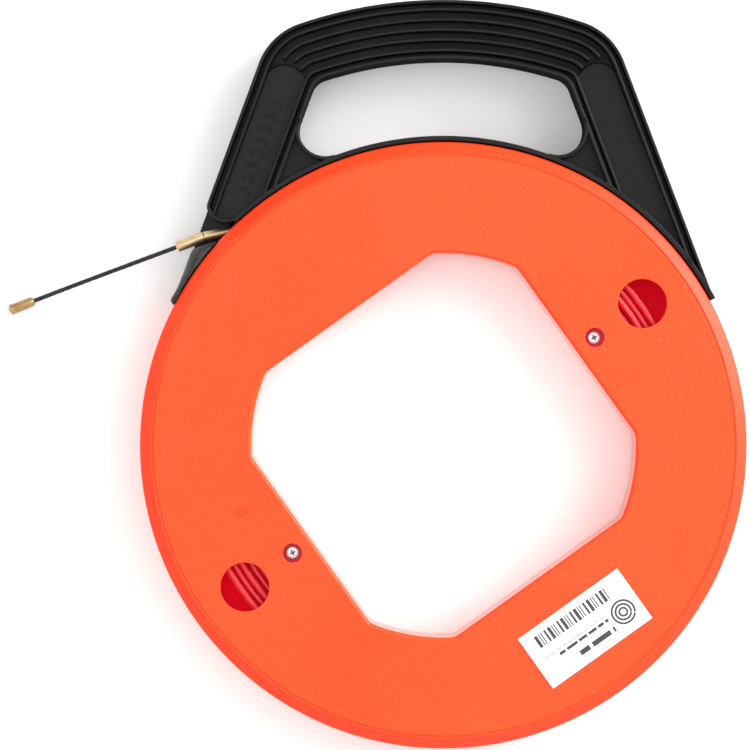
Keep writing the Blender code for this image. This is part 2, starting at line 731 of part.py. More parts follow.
def build_leader(parent, leader_mat, brass_mat, eye_mat):
    start, leave, end, arrive = leader_ends()
    r = SOCKET_RADIUS
    length = SOCKET_LENGTH
    bm = bmesh.new()
    profile = [
        (0.0, 0.0),
        (r * 0.85, 0.0),
        (r, 0.4 * MM),
        (r, length - 0.5 * MM),
        (r * 0.8, length),
        (0.0, length),
    ]
    add_turned(bm, profile, 20, along(start - leave * (length + GAP), leave))
    add_object("leader_socket", bm, parent, brass_mat)

    tube("leader", parent, leader_route(), LEADER_RADIUS, leader_mat)

    r = END_SOCKET_RADIUS
    rim = END_RIM_RADIUS
    length = END_SOCKET_LENGTH
    bm = bmesh.new()
    profile = [(0.0, 0.0), (r * 0.75, 0.0), (r, 1.6 * MM), (r, length - 1.1 * MM), (rim, length - 1.0 * MM)]
    profile += [(rim, length), (0.0, length)]
    add_turned(bm, profile, 20, along(end + arrive * GAP, arrive))
    add_object("end_socket", bm, parent, brass_mat)

    build_eye(parent, end + arrive * (length + 2 * GAP), eye_mat)


def build_eye(parent, point, mat):
    """A flat pulling eye: a long loop of round wire that lies level."""
    matrix = Matrix.Translation(point) @ Matrix.Rotation(END_TURN - OUTLET_TURN, 4, 'Z')
    half = EYE_WIDTH / 2 - EYE_WIRE
    straight = EYE_LENGTH - 2 * EYE_WIRE - 2 * half
    left = EYE_WIRE + half
    step = math.radians(22.5)
    path = arc(Vector((left + straight, 0)), half, -math.pi / 2, math.pi / 2, step)
    path += arc(Vector((left, 0)), half, math.pi / 2, 1.5 * math.pi, step)
    sides = 8
    bm = bmesh.new()
    rings = []
    for i, middle in enumerate(path):
        ahead = path[(i + 1) % len(path)] - path[i - 1]
        normal = Vector((ahead.y, -ahead.x)).normalized()
        ring = []
        for k in range(sides):
            round_wire = polar(EYE_WIRE, 2 * math.pi * k / sides)
            flat = middle + normal * round_wire.x
            ring.append(bm.verts.new(matrix @ Vector((flat.x, flat.y, round_wire.y))))
        rings.append(ring)
    for here, there in zip(rings, rings[1:] + rings[:1]):
        for k in range(sides):
            j = (k + 1) % sides
            bm.faces.new((here[k], here[j], there[j], there[k]))
    add_object("pulling_eye", bm, parent, mat, smooth_angle=60.0)


def main():
    clear_scene()
    orange = material("orange_plastic", (0.9, 0.12, 0.04), 0.45)
    black = material("black_plastic", (0.02, 0.02, 0.022), 0.5)
    red = material("red_cable", (0.62, 0.03, 0.03), 0.4)
    dark = material("leader_black", (0.03, 0.03, 0.032), 0.5)
    brass = material("brass", (0.72, 0.5, 0.22), 0.3, 1.0)
    zinc = material("zinc", (0.75, 0.76, 0.78), 0.3, 1.0)
    white = material("label_white", (0.85, 0.85, 0.84), 0.5)

    handle_frame = add_empty("handle_frame", REEL_CENTRE)
    reel_axis = add_empty("reel_axis", REEL_CENTRE)
    outlet = outlet_frame()
    tape_outlet = add_empty("tape_outlet", REEL_CENTRE + outlet.translation, OUTLET_TURN)

    build_handle(handle_frame, black)
    build_front_shell(reel_axis, orange)
    build_rear_shell(reel_axis, orange)
    for name, spot in zip(("case_screw_upper", "case_screw_lower"), screw_spots()):
        build_screw(name, spot, reel_axis, zinc)
    build_label(reel_axis, white)
    build_coil(reel_axis, red)
    build_cable_anchor(reel_axis, red, zinc)
    build_tape_inside(tape_outlet, red, zinc, brass)
    build_leader(tape_outlet, dark, brass, zinc)


main()
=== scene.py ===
import json
import math

import bmesh
import bpy
from mathutils import Matrix, Vector


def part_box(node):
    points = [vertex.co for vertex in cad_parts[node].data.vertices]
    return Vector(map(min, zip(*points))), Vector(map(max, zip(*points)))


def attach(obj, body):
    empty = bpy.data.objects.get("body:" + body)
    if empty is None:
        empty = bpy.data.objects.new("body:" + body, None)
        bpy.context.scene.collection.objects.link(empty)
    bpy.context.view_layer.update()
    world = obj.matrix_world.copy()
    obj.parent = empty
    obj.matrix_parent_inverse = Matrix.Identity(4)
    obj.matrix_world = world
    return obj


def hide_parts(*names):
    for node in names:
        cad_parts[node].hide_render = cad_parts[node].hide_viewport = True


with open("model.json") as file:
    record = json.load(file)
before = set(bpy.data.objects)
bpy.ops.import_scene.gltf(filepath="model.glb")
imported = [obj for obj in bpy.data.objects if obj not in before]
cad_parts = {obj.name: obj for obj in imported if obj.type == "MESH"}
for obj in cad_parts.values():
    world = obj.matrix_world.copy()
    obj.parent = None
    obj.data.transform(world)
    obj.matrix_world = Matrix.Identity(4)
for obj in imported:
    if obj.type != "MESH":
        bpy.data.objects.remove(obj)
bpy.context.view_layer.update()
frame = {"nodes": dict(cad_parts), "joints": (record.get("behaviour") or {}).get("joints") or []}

MM = 0.001
Z_AXIS = Vector((0.0, 0.0, 1.0))
REEL_AXIS = Vector(frame["joints"][0]["pos_m"])
MID_Z = REEL_AXIS.z  # parting plane of the shells
CENTRE = Vector((REEL_AXIS.x, REEL_AXIS.y, 0.0))
CASE_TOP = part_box("front_shell")[1].z
HANDLE_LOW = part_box("handle")[0].z
HANDLE_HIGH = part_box("handle")[1].z
SKIN = 0.04 * MM  # most drawn surfaces lie this far inside the CAD's
NEAREST = 0.02 * MM  # points closer than this are one
TURNED_STEPS = 56  # facets round screws and brass pieces

# Camera, straight above the object
CAMERA_PLACE = Vector((-34.06, -0.2, 2096.0)) * MM
CAMERA_TURN = math.radians(-0.3)
CAMERA_LENS = 198.0

# Case, round the reel's axis
REEL_RADIUS = 152.0 * MM
WALL = 2.5 * MM
RIM_WALL = 5.0 * MM
RIM_SLOT = 7.0 * MM
CHAMFER_DEPTH = 5.0 * MM
CHAMFER_START = 146.4 * MM
GROOVE_INNER = 144.9 * MM  # shallow groove between face and chamfer
GROOVE_BOTTOM = 145.3 * MM
GROOVE_DEPTH = 0.65 * MM
GROOVE_STEP = 0.12 * MM  # the chamfer starts this far below the face
OPENING_RADIUS = 96.0 * MM
OPENING_FLAT = 81.3 * MM
OPENING_EDGE = 1.5 * MM
OPENING_SOFTNESS = 0.5 * MM  # rounding of the opening's eight corners
REEL_TURN = math.radians(35.2)
WINDOW_RADIUS = 12.25 * MM
WINDOW_CENTRE = 122.0 * MM
SCREW_CENTRE = 92.75 * MM
BOSS_RADIUS = 6.4 * MM
COUNTERBORE_RADIUS = 4.8 * MM
COUNTERBORE_FLOOR = 27.0 * MM
SCREW_HOLE_RADIUS = 1.9 * MM
SCREW_HOLE_FLOOR = 5.0 * MM
HALF_GAP = 0.15 * MM  # from the parting plane to each shell
CUTTER_LIP = 0.45 * MM  # rounding of windows and counterbores at the face
CUTTER_TOP = CASE_TOP * 1.1  # cutters end clear above the face
# The inside, recess and chamfer slots take copies of the orange with painted glow and painted shade.
CASE_SLOTS = dict(face=0, bore=1, inside=2, recess=3, chamfer=4)  # its material slots

# Four posts of the rear shell that hold the cable's inner end
ANCHOR_RADIUS = 93.5 * MM
ANCHOR_TURN = REEL_TURN + math.pi / 2
POST_SIZE = Vector((1.8, 3.0, 20.7)) * MM
POST_X = 7.2 * MM
POST_Y = 3.8 * MM
POST_Z = -6.3 * MM  # middle of a post, from the parting plane

# Case screws
SCREW_SHANK_RADIUS = 1.5 * MM
SCREW_HEAD_RADIUS = 3.1 * MM
SCREW_HEAD_HEIGHT = 2.2 * MM
SCREW_TIP_Z = 7.0 * MM
SCREW_SEAT = COUNTERBORE_FLOOR + 0.3 * MM
RECESS_WIDTH = 0.95 * MM
RECESS_SPAN = 3.8 * MM
RECESS_DEPTH = 1.3 * MM
RECESS_TURN = 0.5  # direction of the cross, in radians
RECESS_TAPER = (0.45, 0.8)  # the cross narrows by these towards its floor

# Cable, wound in layers of five rows; each layer lies in the grooves of the one below
CABLE_RADIUS = 2.0 * MM
COIL_START = math.radians(150.0)  # where the inner end joins the first layer
COIL_END = math.radians(90.0)  # where the outer end leaves for the outlet
COIL_TURNS = 28 + (COIL_END - COIL_START) / (2 * math.pi)
COIL_ROWS = 5
COIL_FIRST_RADIUS = 104.35 * MM
COIL_PITCH = 3.75 * MM  # from layer to layer
COIL_RISE = 4.1 * MM  # from row to row
COIL_SHIFT = 1.4 * MM  # the winding has slipped this far to one side
COIL_SHIFT_TURN = math.radians(215.5)
COIL_STEPS = 90  # points for each turn
COIL_HOP = (0.86, 0.13)  # start and length of the step to the next row, in turns
COIL_LEAN = 0.25  # part of a row by which layers sit off the middle
COIL_SLACK = 0.05 * MM

# Label on the front face
LABEL_LENGTH = 61.0 * MM
LABEL_WIDTH = 30.4 * MM
LABEL_CENTRE = 115.6 * MM
LABEL_TURN = math.radians(-52.6)
LABEL_TOP = 0.4 * MM  # above the face
LABEL_FRAME = Vector((29.0, 13.6)) * MM  # half size of the printed frame
LABEL_LINE = 0.14 * MM
INK = 0.03 * MM

# Moulded mark, in plan from the reel's axis
MARK = Vector((-100.2, -32.4)) * MM
MARK_RADIUS = 2.1 * MM
MARK_WIDTH = 0.9 * MM
MARK_HEIGHT = 0.4 * MM

# Handle
GRIP_RADIUS = 223.05 * MM
LEG_DISTANCE = 152.75 * MM
LEG_TILT = math.radians(20.46)
BAND_WIDTH = 29.6 * MM
SHOULDER_RADIUS = 33.0 * MM
HOLE_SHOULDER_RADIUS = 10.0 * MM
HOLE_FOOT_RADIUS = 13.2 * MM
HOLE_FOOT_RISE = 127.8 * MM
RAIL_INNER = 152.45 * MM
RAIL_OUTER = 154.9 * MM
RAIL_POCKET = 155.3 * MM
RAIL_START = math.radians(28.1)
RAIL_GAP = (math.radians(132.6), math.radians(137.4))  # the tape passes here
LEG_FOOT = RAIL_INNER + 1.0 * MM  # the legs' lines begin here, inside the rail
TONGUE_WEB = 6.2 * MM
TONGUE_HEAD = 13.0 * MM
TONGUE_HEAD_INNER = 143.2 * MM
TONGUE_HEAD_OUTER = 146.6 * MM
TONGUE_START = math.radians(30.2)
WALL_LINE = 0.85 * MM  # middle of the handle's outer wall
OUTER_WALL = 1.6 * MM
RIB_OFFSETS = [4.8 * MM, 9.95 * MM, 14.95 * MM, 19.95 * MM, 25.2 * MM]
RIB = 1.4 * MM
INNER_WALL = 1.8 * MM
GRIP_WEB = 3.0 * MM
PANEL_WEB = 13.0 * MM
FLOOR_INSET = 0.8 * MM  # floors end inside the walls
RIB_EDGE = 0.45 * MM  # rounding of the ribs
WALL_EDGE = 0.6 * MM  # rounding of the outer walls and the rail
RIB_ENDS = (78.8 * MM, 73.3 * MM, 70.2 * MM)  # the free ribs stop this far from the middle
LEFT_RIB_FOOT = 114.6 * MM  # the outermost rib stops at this height on the left leg
HANDLE_SLOTS = dict(moulding=0, foot=1, hole=2)  # its material slots

# Wall that closes the left leg above the tape outlet, from the leg's edge to the rail
LEFT_FOOT = [Vector(p) * MM for p in (
    (-115.8, 124.0), (-117.0, 120.4), (-116.2, 117.2),
    (-113.4, 114.4), (-109.0, 113.0), (-103.0, 113.8),
)]

# Foot and rounded upper end of a leg's panel
PANEL_FOOT = 153.4 * MM
PANEL_TOP = [Vector(p) * MM for p in (
    (87.6, 187.4), (85.2, 189.6), (81.8, 191.3), (77.2, 191.6),
    (72.6, 189.6), (69.4, 186.6), (67.0, 183.8),
)]

# Foot of the left leg, below the tape outlet
FOOT_START = math.radians(137.7)
FOOT_END = math.radians(152.2)
FOOT_EDGE_START = math.radians(141.6)  # its outer edge begins here
FOOT_BLUNT = math.radians(1.1)  # length of its rounded end
FOOT_CORNER = Vector((-124.9, 99.1)) * MM
FOOT_CROWN = 7.0 * MM
SCUFF_TURN = math.radians(58.0)  # direction of the scuffs along it

# Chevrons on the left leg's panel
CHEVRONS = 8
CHEVRON_FIRST = 83.5 * MM  # along the leg
CHEVRON_PITCH = 6.6 * MM
CHEVRON_MIDDLE = 15.0 * MM  # from the leg's edge
CHEVRON_REACH = 3.3 * MM
CHEVRON_STROKE = 0.75 * MM
CHEVRON_DOUBLE = 1.7 * MM  # between the two strokes of each

# Tape outlet, in plan from the reel's axis
OUTLET_TURN = math.radians(12.3)
OUTLET = Vector((-119.82, 105.4)) * MM
OUTLET_FLOOR = 12.0 * MM
TUNNEL_SIZE = Vector((90.0, 6.0, 6.8)) * MM
TUNNEL_MIDDLE = 25.0 * MM  # along the tape, into the case

# Tape end
GAP = 0.3 * MM
LEAD_LENGTH = 98.0 * MM
FERRULE_RADIUS = 2.58 * MM
FERRULE_NOSE_RADIUS = 2.08 * MM
FERRULE_LENGTH = 14.5 * MM
CORE_LENGTH = 5.0 * MM
SOCKET_RADIUS = 2.73 * MM
SOCKET_LENGTH = 14.4 * MM
SOCKET_TURN = math.radians(200.3)
LEADER_RADIUS = 1.125 * MM
LEADER_SPAN = 77.4 * MM
LEADER_TURN = math.radians(199.86)
LEADER_POINTS = 18
LEADER_STRANDS = 4
LEADER_LAY = 15.6 * MM  # length of one full twist
LEADER_GROOVE = 0.14  # depth between the strands, as part of the radius
END_TURN = math.radians(201.0)
END_SOCKET_RADIUS = 2.58 * MM
END_RIM_RADIUS = 2.83 * MM
END_SOCKET_LENGTH = 12.6 * MM
END_Z = 3.0 * MM
EYE_LENGTH = 6.6 * MM
EYE_WIDTH = 5.0 * MM
EYE_WIRE = 0.5 * MM

ARC_STEP = math.radians(1.5)
ORIGIN = Vector((0.0, 0.0))  # the reel's axis, in plan

# ---- lines in plan

def polar(radius, angle):
    return Vector((radius * math.cos(angle), radius * math.sin(angle)))

def lifted(p, z):
    """The place in space of a point in plan."""
    return CENTRE + Vector((p.x, p.y, z))

def arc(centre, radius, start, end, step=ARC_STEP):
    """Points of a circular arc, both ends included."""
    count = max(2, math.ceil(abs(end - start) / step))
    return [centre + polar(radius, start + (end - start) * i / count) for i in range(count + 1)]

def flipped(points):
    return [Vector((-p.x, p.y)) for p in points]

def mirror(points):
    """The other half of a symmetric line, in the opposite order."""
    return flipped(reversed(points))

def between(here, leaving, there, arriving, t):
    """A point of the curve that leaves here and arrives there with these slopes."""
    return (
        here * (2 * t ** 3 - 3 * t ** 2 + 1)
        + leaving * (t ** 3 - 2 * t ** 2 + t)
        + there * (3 * t ** 2 - 2 * t ** 3)
        + arriving * (t ** 3 - t ** 2)
    )

def smooth_line(points, steps=6):
    """A curve through all the points of an open line."""
    line = [points[0] * 2 - points[1]] + list(points) + [points[-1] * 2 - points[-2]]
    out = []
    for before, here, there, after in zip(line, line[1:], line[2:], line[3:]):
        leaving = (there - before) / 2
        arriving = (after - here) / 2
        out += [between(here, leaving, there, arriving, k / steps) for k in range(steps)]
    return out + [points[-1]]

def thinned(points):
    kept = [points[0]]
    for p in points[1:]:
        if (p - kept[-1]).length > NEAREST:
            kept.append(p)
    return kept

def left_of(direction):
    return Vector((-direction.y, direction.x))

def mitre(back, ahead):
    """The move that shifts two joined edges to their left by one."""
    mean = left_of(back) + left_of(ahead)
    if mean.length < 0.2:
        return left_of(back)
    mean.normalize()
    return mean / max(mean.dot(left_of(back)), 0.5)

def shifted(line, distance):
    """An open line moved to its left."""
    edges = [(b - a).normalized() for a, b in zip(line, line[1:])]
    edges = [edges[0]] + edges + [edges[-1]]
    return [p + mitre(back, ahead) * distance for p, back, ahead in zip(line, edges, edges[1:])]

def ribbon(line, width, round_ends=False):
    """Closed outline of a strip along an open line."""
    line = thinned(line)
    left = shifted(line, width / 2)
    right = shifted(line, -width / 2)
    if not round_ends:
        return left + right[::-1]
    first = (line[1] - line[0]).normalized()
    last = (line[-1] - line[-2]).normalized()
    turn_first = math.atan2(first.y, first.x)
    turn_last = math.atan2(last.y, last.x)
    quarter = math.pi / 2
    step = math.radians(30)
    cap_last = arc(line[-1], width / 2, turn_last + quarter, turn_last - quarter, step)
    cap_first = arc(line[0], width / 2, turn_first - quarter, turn_first - 3 * quarter, step)
    return left[:-1] + cap_last + right[::-1][1:-1] + cap_first[:-1]

def clipped(outline, border):
    """The part of a closed outline to the left of every edge of a convex border line."""
    for a, b in zip(border, border[1:]):
        inward = left_of((b - a).normalized())
        kept = []
        for here, there in zip(outline, outline[1:] + outline[:1]):
            d_here = (here - a).dot(inward)
            d_there = (there - a).dot(inward)
            if d_here >= 0:
                kept.append(here)
            if (d_here >= 0) != (d_there >= 0):
                kept.append(here.lerp(there, d_here / (d_here - d_there)))
        outline = kept
    return outline

# ---- solids

def join_rings(bm, rings, closed=False):
    """Faces from each ring of points to the next, and from the last to the first if closed.

    A ring may be a single point.
    """
    following = rings[1:] + rings[:1] if closed else rings[1:]
    made = []
    for here, there in zip(rings, following):
        for i in range(max(len(here), len(there))):
            pairs = ((here, i), (here, i + 1), (there, i + 1), (there, i))
            corners = [ring[k % len(ring)] for ring, k in pairs]
            made.append(bm.faces.new(list(dict.fromkeys(corners))))
    return made

def add_tube(bm, rings):
    """Joined rings, closed off at both ends."""
    return join_rings(bm, rings) + [bm.faces.new(rings[0]), bm.faces.new(rings[-1])]

def add_prism(bm, outline, low, high, edge, steps=3):
    """A moulded block: a plan outline between two heights, with its long edges rounded."""
    outline = thinned(outline)
    if (outline[0] - outline[-1]).length < NEAREST:
        outline.pop()
    count = len(outline)
    area = sum(a.x * b.y - a.y * b.x for a, b in zip(outline, outline[1:] + outline[:1]))
    if area < 0:
        outline.reverse()
    edges = [(outline[(i + 1) % count] - outline[i]).normalized() for i in range(count)]
    inward = [mitre(edges[i - 1], edges[i]) for i in range(count)]
    turns = [math.pi / 2 * k / steps for k in range(steps + 1)]
    levels = [(edge * (1 - math.sin(a)), edge * (1 - math.cos(a))) for a in turns]
    if edge == 0.0:
        levels = [(0.0, 0.0)]
    heights = [(inset, low + rise) for inset, rise in levels]
    heights += [(inset, high - rise) for inset, rise in reversed(levels)]
    rings = []
    for inset, z in heights:
        moved = [p + m * inset for p, m in zip(outline, inward)]
        rings.append([bm.verts.new(lifted(p, z)) for p in moved])
    join_rings(bm, rings)
    bm.faces.new(rings[0][::-1])
    bm.faces.new(rings[-1])

def add_turned(bm, profile, steps, matrix):
    """Turn a (radius, height) profile round Z; it starts and ends on the axis."""
    rings = []
    for radius, z in profile:
        if radius == 0.0:
            rings.append([bm.verts.new(matrix @ Vector((0.0, 0.0, z)))])
            continue
        ring = [polar(radius, 2 * math.pi * i / steps) for i in range(steps)]
        rings.append([bm.verts.new(matrix @ Vector((p.x, p.y, z))) for p in ring])
    join_rings(bm, rings)

def add_box(bm, size, matrix):
    made = bmesh.ops.create_cube(bm, size=1.0)
    bmesh.ops.scale(bm, vec=size, verts=made["verts"])
    bmesh.ops.transform(bm, matrix=matrix, verts=made["verts"])

def filleted(points, radii, steps=3):
    """A closed section with each corner rounded to its own radius."""
    out = []
    for i, (corner, radius) in enumerate(zip(points, radii)):
        if radius == 0.0:
            out.append(corner)
            continue
        back = (points[i - 1] - corner).normalized()
        ahead = (points[(i + 1) % len(points)] - corner).normalized()
        half = back.angle(ahead) / 2
        reach = radius / math.tan(half)
        centre = corner + (back + ahead).normalized() * (radius / math.sin(half))
        start = corner + back * reach - centre
        end = corner + ahead * reach - centre
        for k in range(steps + 1):
            spoke = start.lerp(end, k / steps)
            out.append(centre + spoke.normalized() * radius)
    return out

def rounded_profile(corners, steps=3):
    """The (radius, height) points of a section given by (radius, height, rounding) corners."""
    points = [Vector((r, z)) for r, z, _ in corners]
    radii = [rounding for _, _, rounding in corners]
    return [(p.x, p.y) for p in filleted(points, radii, steps)]

def smooth(mesh, angle=35.0):
    mesh.shade_smooth()
    mesh.set_sharp_from_angle(angle=math.radians(angle))

def show(name, data):
    obj = bpy.data.objects.new(name, data)
    bpy.context.scene.collection.objects.link(obj)
    return obj

def new_object(name, bm, materials, smooth_angle=35.0):
    bmesh.ops.recalc_face_normals(bm, faces=bm.faces)
    mesh = bpy.data.meshes.new(name)
    bm.to_mesh(mesh)
    bm.free()
    for mat in materials:
        mesh.materials.append(mat)
    smooth(mesh, smooth_angle)
    return show(name, mesh)

def carve(obj, operation, bm):
    """Join a bmesh to a piece or cut it away, and keep only the result."""
    tool = new_object("tool", bm, [])
    mod = obj.modifiers.new("carve", 'BOOLEAN')
    mod.operation = operation
    mod.solver = 'EXACT'
    mod.object = tool
    bpy.context.view_layer.update()
    depsgraph = bpy.context.evaluated_depsgraph_get()
    made = bpy.data.meshes.new_from_object(obj.evaluated_get(depsgraph))
    obj.modifiers.remove(mod)
    obj.data = made
    smooth(made)
    bpy.data.objects.remove(tool)

def even_shading(obj):
    """Flat faces stay flat beside rounded edges."""
    mod = obj.modifiers.new("even_shading", 'WEIGHTED_NORMAL')
    mod.keep_sharp = True
    mod.weight = 80

def place(obj, body, slot, *nodes):
    """The piece rides on a body and stands for these CAD nodes."""
    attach(obj, body)
    if nodes:
        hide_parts(*nodes)
    return obj

def along(point, direction):
    """A matrix that stands local +Z along a direction, at a point."""
    turn = Z_AXIS.rotation_difference(direction).to_matrix().to_4x4()
    return Matrix.Translation(point) @ turn

def cable_curve(name, points, radius, mat, resolution=4):
    curve = bpy.data.curves.new(name, 'CURVE')
    curve.dimensions = '3D'
    curve.bevel_depth = radius
    curve.bevel_resolution = resolution
    curve.use_fill_caps = True
    spline = curve.splines.new('POLY')
    spline.points.add(len(points) - 1)
    for target, point in zip(spline.points, points):
        target.co = (*point, 1.0)
    curve.materials.append(mat)
    return show(name, curve)

# ---- materials

class Nodes:
    """Short names for building one material's nodes."""

    def __init__(self, name):
        self.material = bpy.data.materials.new(name)
        self.material.use_nodes = True
        self.tree = self.material.node_tree
        self.shader = self.tree.nodes["Principled BSDF"]
        self.place = self.add('ShaderNodeTexCoord').outputs["Object"]

    def add(self, kind, **inputs):
        """A new node; an input's name is written with _ for each space."""
        node = self.tree.nodes.new(kind)
        self.set(node, **inputs)
        return node

    def set(self, node, **inputs):
        for name, value in inputs.items():
            node.inputs[name.replace("_", " ")].default_value = value

    def link(self, output, target):
        self.tree.links.new(output, target)

    def noise(self, scale, detail=2.0, roughness=0.5, stretch=None, turn=0.0):
        """Noise in the object's own metres; stretch squeezes it along each axis."""
        node = self.add('ShaderNodeTexNoise', Scale=scale, Detail=detail, Roughness=roughness)
        source = self.place
        if stretch:
            turned = self.add('ShaderNodeMapping', Rotation=(0.0, 0.0, turn))
            self.link(source, turned.inputs["Vector"])
            squeezed = self.add('ShaderNodeMapping', Scale=stretch)
            self.link(turned.outputs["Vector"], squeezed.inputs["Vector"])
            source = squeezed.outputs["Vector"]
        self.link(source, node.inputs["Vector"])
        return node.outputs["Fac"]

    def ramp(self, factor, low, high, start=0.35, end=0.65):
        """Colour from low to high as the factor goes from start to end."""
        node = self.add('ShaderNodeValToRGB')
        first, last = node.color_ramp.elements
        first.position = start
        last.position = end
        first.color = (*low, 1.0)
        last.color = (*high, 1.0)
        self.link(factor, node.inputs["Fac"])
        return node.outputs["Color"]

    def span(self, factor, low, high, start=0.3, end=0.7):
        limits = dict(From_Min=start, From_Max=end, To_Min=low, To_Max=high)
        node = self.add('ShaderNodeMapRange', **limits)
        self.link(factor, node.inputs["Value"])
        return node.outputs["Result"]

    def bump(self, height, strength, distance, under=None):
        node = self.add('ShaderNodeBump', Strength=strength, Distance=distance)
        self.link(height, node.inputs["Height"])
        if under:
            self.link(under, node.inputs["Normal"])
        return node.outputs["Normal"]

    # Emission: a painted glow, for parts that are no lamp.
    def glow(self, colour, strength):
        self.link(colour, self.shader.inputs["Emission Color"])
        self.set(self.shader, Emission_Strength=strength)

    def finish(self, colour, roughness, normal=None, metallic=0.0, specular=0.5):
        shader = self.shader
        self.link(colour, shader.inputs["Base Color"])
        self.link(roughness, shader.inputs["Roughness"])
        self.set(shader, Metallic=metallic, Specular_IOR_Level=specular)
        if normal:
            self.link(normal, shader.inputs["Normal"])
        return self.material

def even_material(name, noise, low, high, roughness, bump=None, **surface):
    """A material whose colour, roughness and relief all follow one noise."""
    n = Nodes(name)
    drift = n.noise(*noise)
    colour = n.ramp(drift, low, high)
    gloss = n.span(drift, *roughness)
    normal = n.bump(drift, *bump) if bump else None
    return n.finish(colour, gloss, normal, **surface)

def orange_plastic():
    """Moulded case: saturated orange with a fine leather grain."""
    n = Nodes("orange_plastic")
    drift = n.noise(14.0, 2.0)
    colour = n.ramp(drift, (0.8, 0.063, 0.012), (0.86, 0.071, 0.016))
    grain = n.noise(900.0, 3.0, 0.55)
    coarse = n.noise(420.0, 3.0, 0.6)
    normal = n.bump(coarse, 0.5, 1.2 * MM)
    normal = n.bump(grain, 0.5, 0.4 * MM, normal)
    return n.finish(colour, n.span(grain, 0.3, 0.44), normal, specular=0.2)

def shaded_smooth_orange():
    """Chamfer round the case, without grain; its colour is a darker, deeper copy of the face's orange,
    painted shade.
    """
    return even_material(
        "shaded_smooth_orange", (14.0, 2.0), (0.8, 0.04, 0.004), (0.86, 0.046, 0.006),
        roughness=(0.48, 0.54), specular=0.27,
    )

def polished_orange():
    """Bore of the central opening, smooth from the mould's core."""
    return even_material(
        "polished_orange", (40.0, 2.0), (0.74, 0.064, 0.014), (0.8, 0.072, 0.018),
        roughness=(0.06, 0.12), specular=0.6,
    )

def painted_glow_red():
    """Inside of the case: painted glow and painted shade, a glowing deep red copy of the case's orange
    that stands in for light coming through the thin plastic.
    """
    n = Nodes("painted_glow_red")
    drift = n.noise(60.0, 3.0)
    colour = n.ramp(drift, (0.68, 0.001, 0.01), (0.76, 0.002, 0.013))
    # Painted glow on the inside faces.
    n.glow(n.ramp(drift, (0.9, 0.0, 0.025), (1.0, 0.0, 0.03)), 0.2)
    return n.finish(colour, n.span(drift, 0.45, 0.6), specular=0.1)

def painted_shade_red():
    """Wall of the screw recesses: a crimson copy of the case's own colour, painted shade."""
    return even_material(
        "painted_shade_red", (60.0, 3.0), (0.76, 0.02, 0.05), (0.86, 0.03, 0.07),
        roughness=(0.25, 0.35), specular=0.25,
    )

def black_plastic():
    """Handle: black glass-filled plastic, satin, with a fine mould grain."""
    n = Nodes("black_plastic")
    drift = n.noise(30.0, 3.0)
    colour = n.ramp(drift, (0.005, 0.005, 0.0052), (0.0077, 0.0075, 0.0078))
    grain = n.noise(1300.0, 2.0, 0.6)
    flow = n.noise(160.0, 2.0, 0.5)
    normal = n.bump(flow, 0.3, 0.5 * MM)
    normal = n.bump(grain, 0.6, 0.2 * MM, normal)
    return n.finish(colour, n.span(drift, 0.34, 0.46), normal, specular=0.18)

def gloss_black():
    """Foot of the handle, worn shiny in streaks along it."""
    n = Nodes("gloss_black")
    drift = n.noise(40.0, 3.0)
    scuffs = n.noise(1.0, 3.0, 0.7, stretch=(90.0, 650.0, 400.0), turn=-SCUFF_TURN)
    colour = n.ramp(drift, (0.004, 0.004, 0.0045), (0.008, 0.008, 0.0085))
    normal = n.bump(scuffs, 0.8, 0.8 * MM)
    return n.finish(colour, n.span(scuffs, 0.1, 0.34), normal, specular=0.5)

def matt_black():
    """Sides of the hand hole's lip, dull from the mould's core."""
    return even_material(
        "matt_black", (40.0, 3.0), (0.016, 0.016, 0.0165), (0.024, 0.0235, 0.024),
        roughness=(0.85, 0.95), specular=0.0,
    )

def red_sheath():
    """Cable sheath: glossy red, with a faint painted glow that stands in for light from the glowing
    case below.
    """
    n = Nodes("red_sheath")
    drift = n.noise(180.0, 3.0)
    colour = n.ramp(drift, (0.6, 0.004, 0.012), (0.7, 0.006, 0.018))
    # Faint painted glow.
    n.glow(n.ramp(drift, (0.8, 0.0, 0.02), (0.9, 0.0, 0.025)), 0.05)
    return n.finish(colour, n.span(drift, 0.24, 0.32), n.bump(drift, 0.15, 0.1 * MM), specular=0.6)

def leader_sheath():
    """Twisted leader: dark strands under a thin black coat."""
    return even_material(
        "leader_sheath", (900.0, 3.0), (0.006, 0.0056, 0.0056), (0.028, 0.026, 0.026),
        roughness=(0.26, 0.4), bump=(0.3, 0.05 * MM), specular=0.24,
    )

def brass(name, low, high):
    """Turned brass with fine lathe marks round each piece."""
    n = Nodes(name)
    drift = n.noise(220.0, 2.0)
    colour = n.ramp(drift, low, high)
    marks = n.noise(1.0, 2.0, 0.6, stretch=(4200.0, 160.0, 160.0), turn=-SOCKET_TURN)
    return n.finish(colour, n.span(marks, 0.36, 0.48), n.bump(marks, 0.25, 0.04 * MM), metallic=1.0)

def zinc():
    """Zinc-plated steel with a slight passivation tint."""
    return even_material(
        "zinc", (700.0, 2.0), (0.74, 0.76, 0.78), (0.85, 0.85, 0.84),
        roughness=(0.3, 0.45), bump=(0.15, 0.04 * MM), metallic=0.5,
    )

def painted_shade_steel():
    """Cross recess of the screws: a dark copy of the zinc, painted shade."""
    return even_material(
        "painted_shade_steel", (900.0, 2.0), (0.06, 0.07, 0.075), (0.12, 0.13, 0.135),
        roughness=(0.35, 0.5), metallic=0.4,
    )

def cable_steel():
    """Bare stranded steel: the cable's core and the crimped sleeve."""
    return even_material(
        "cable_steel", (600.0, 3.0), (0.28, 0.28, 0.29), (0.42, 0.42, 0.43),
        roughness=(0.3, 0.42), bump=(0.3, 0.1 * MM), metallic=1.0,
    )

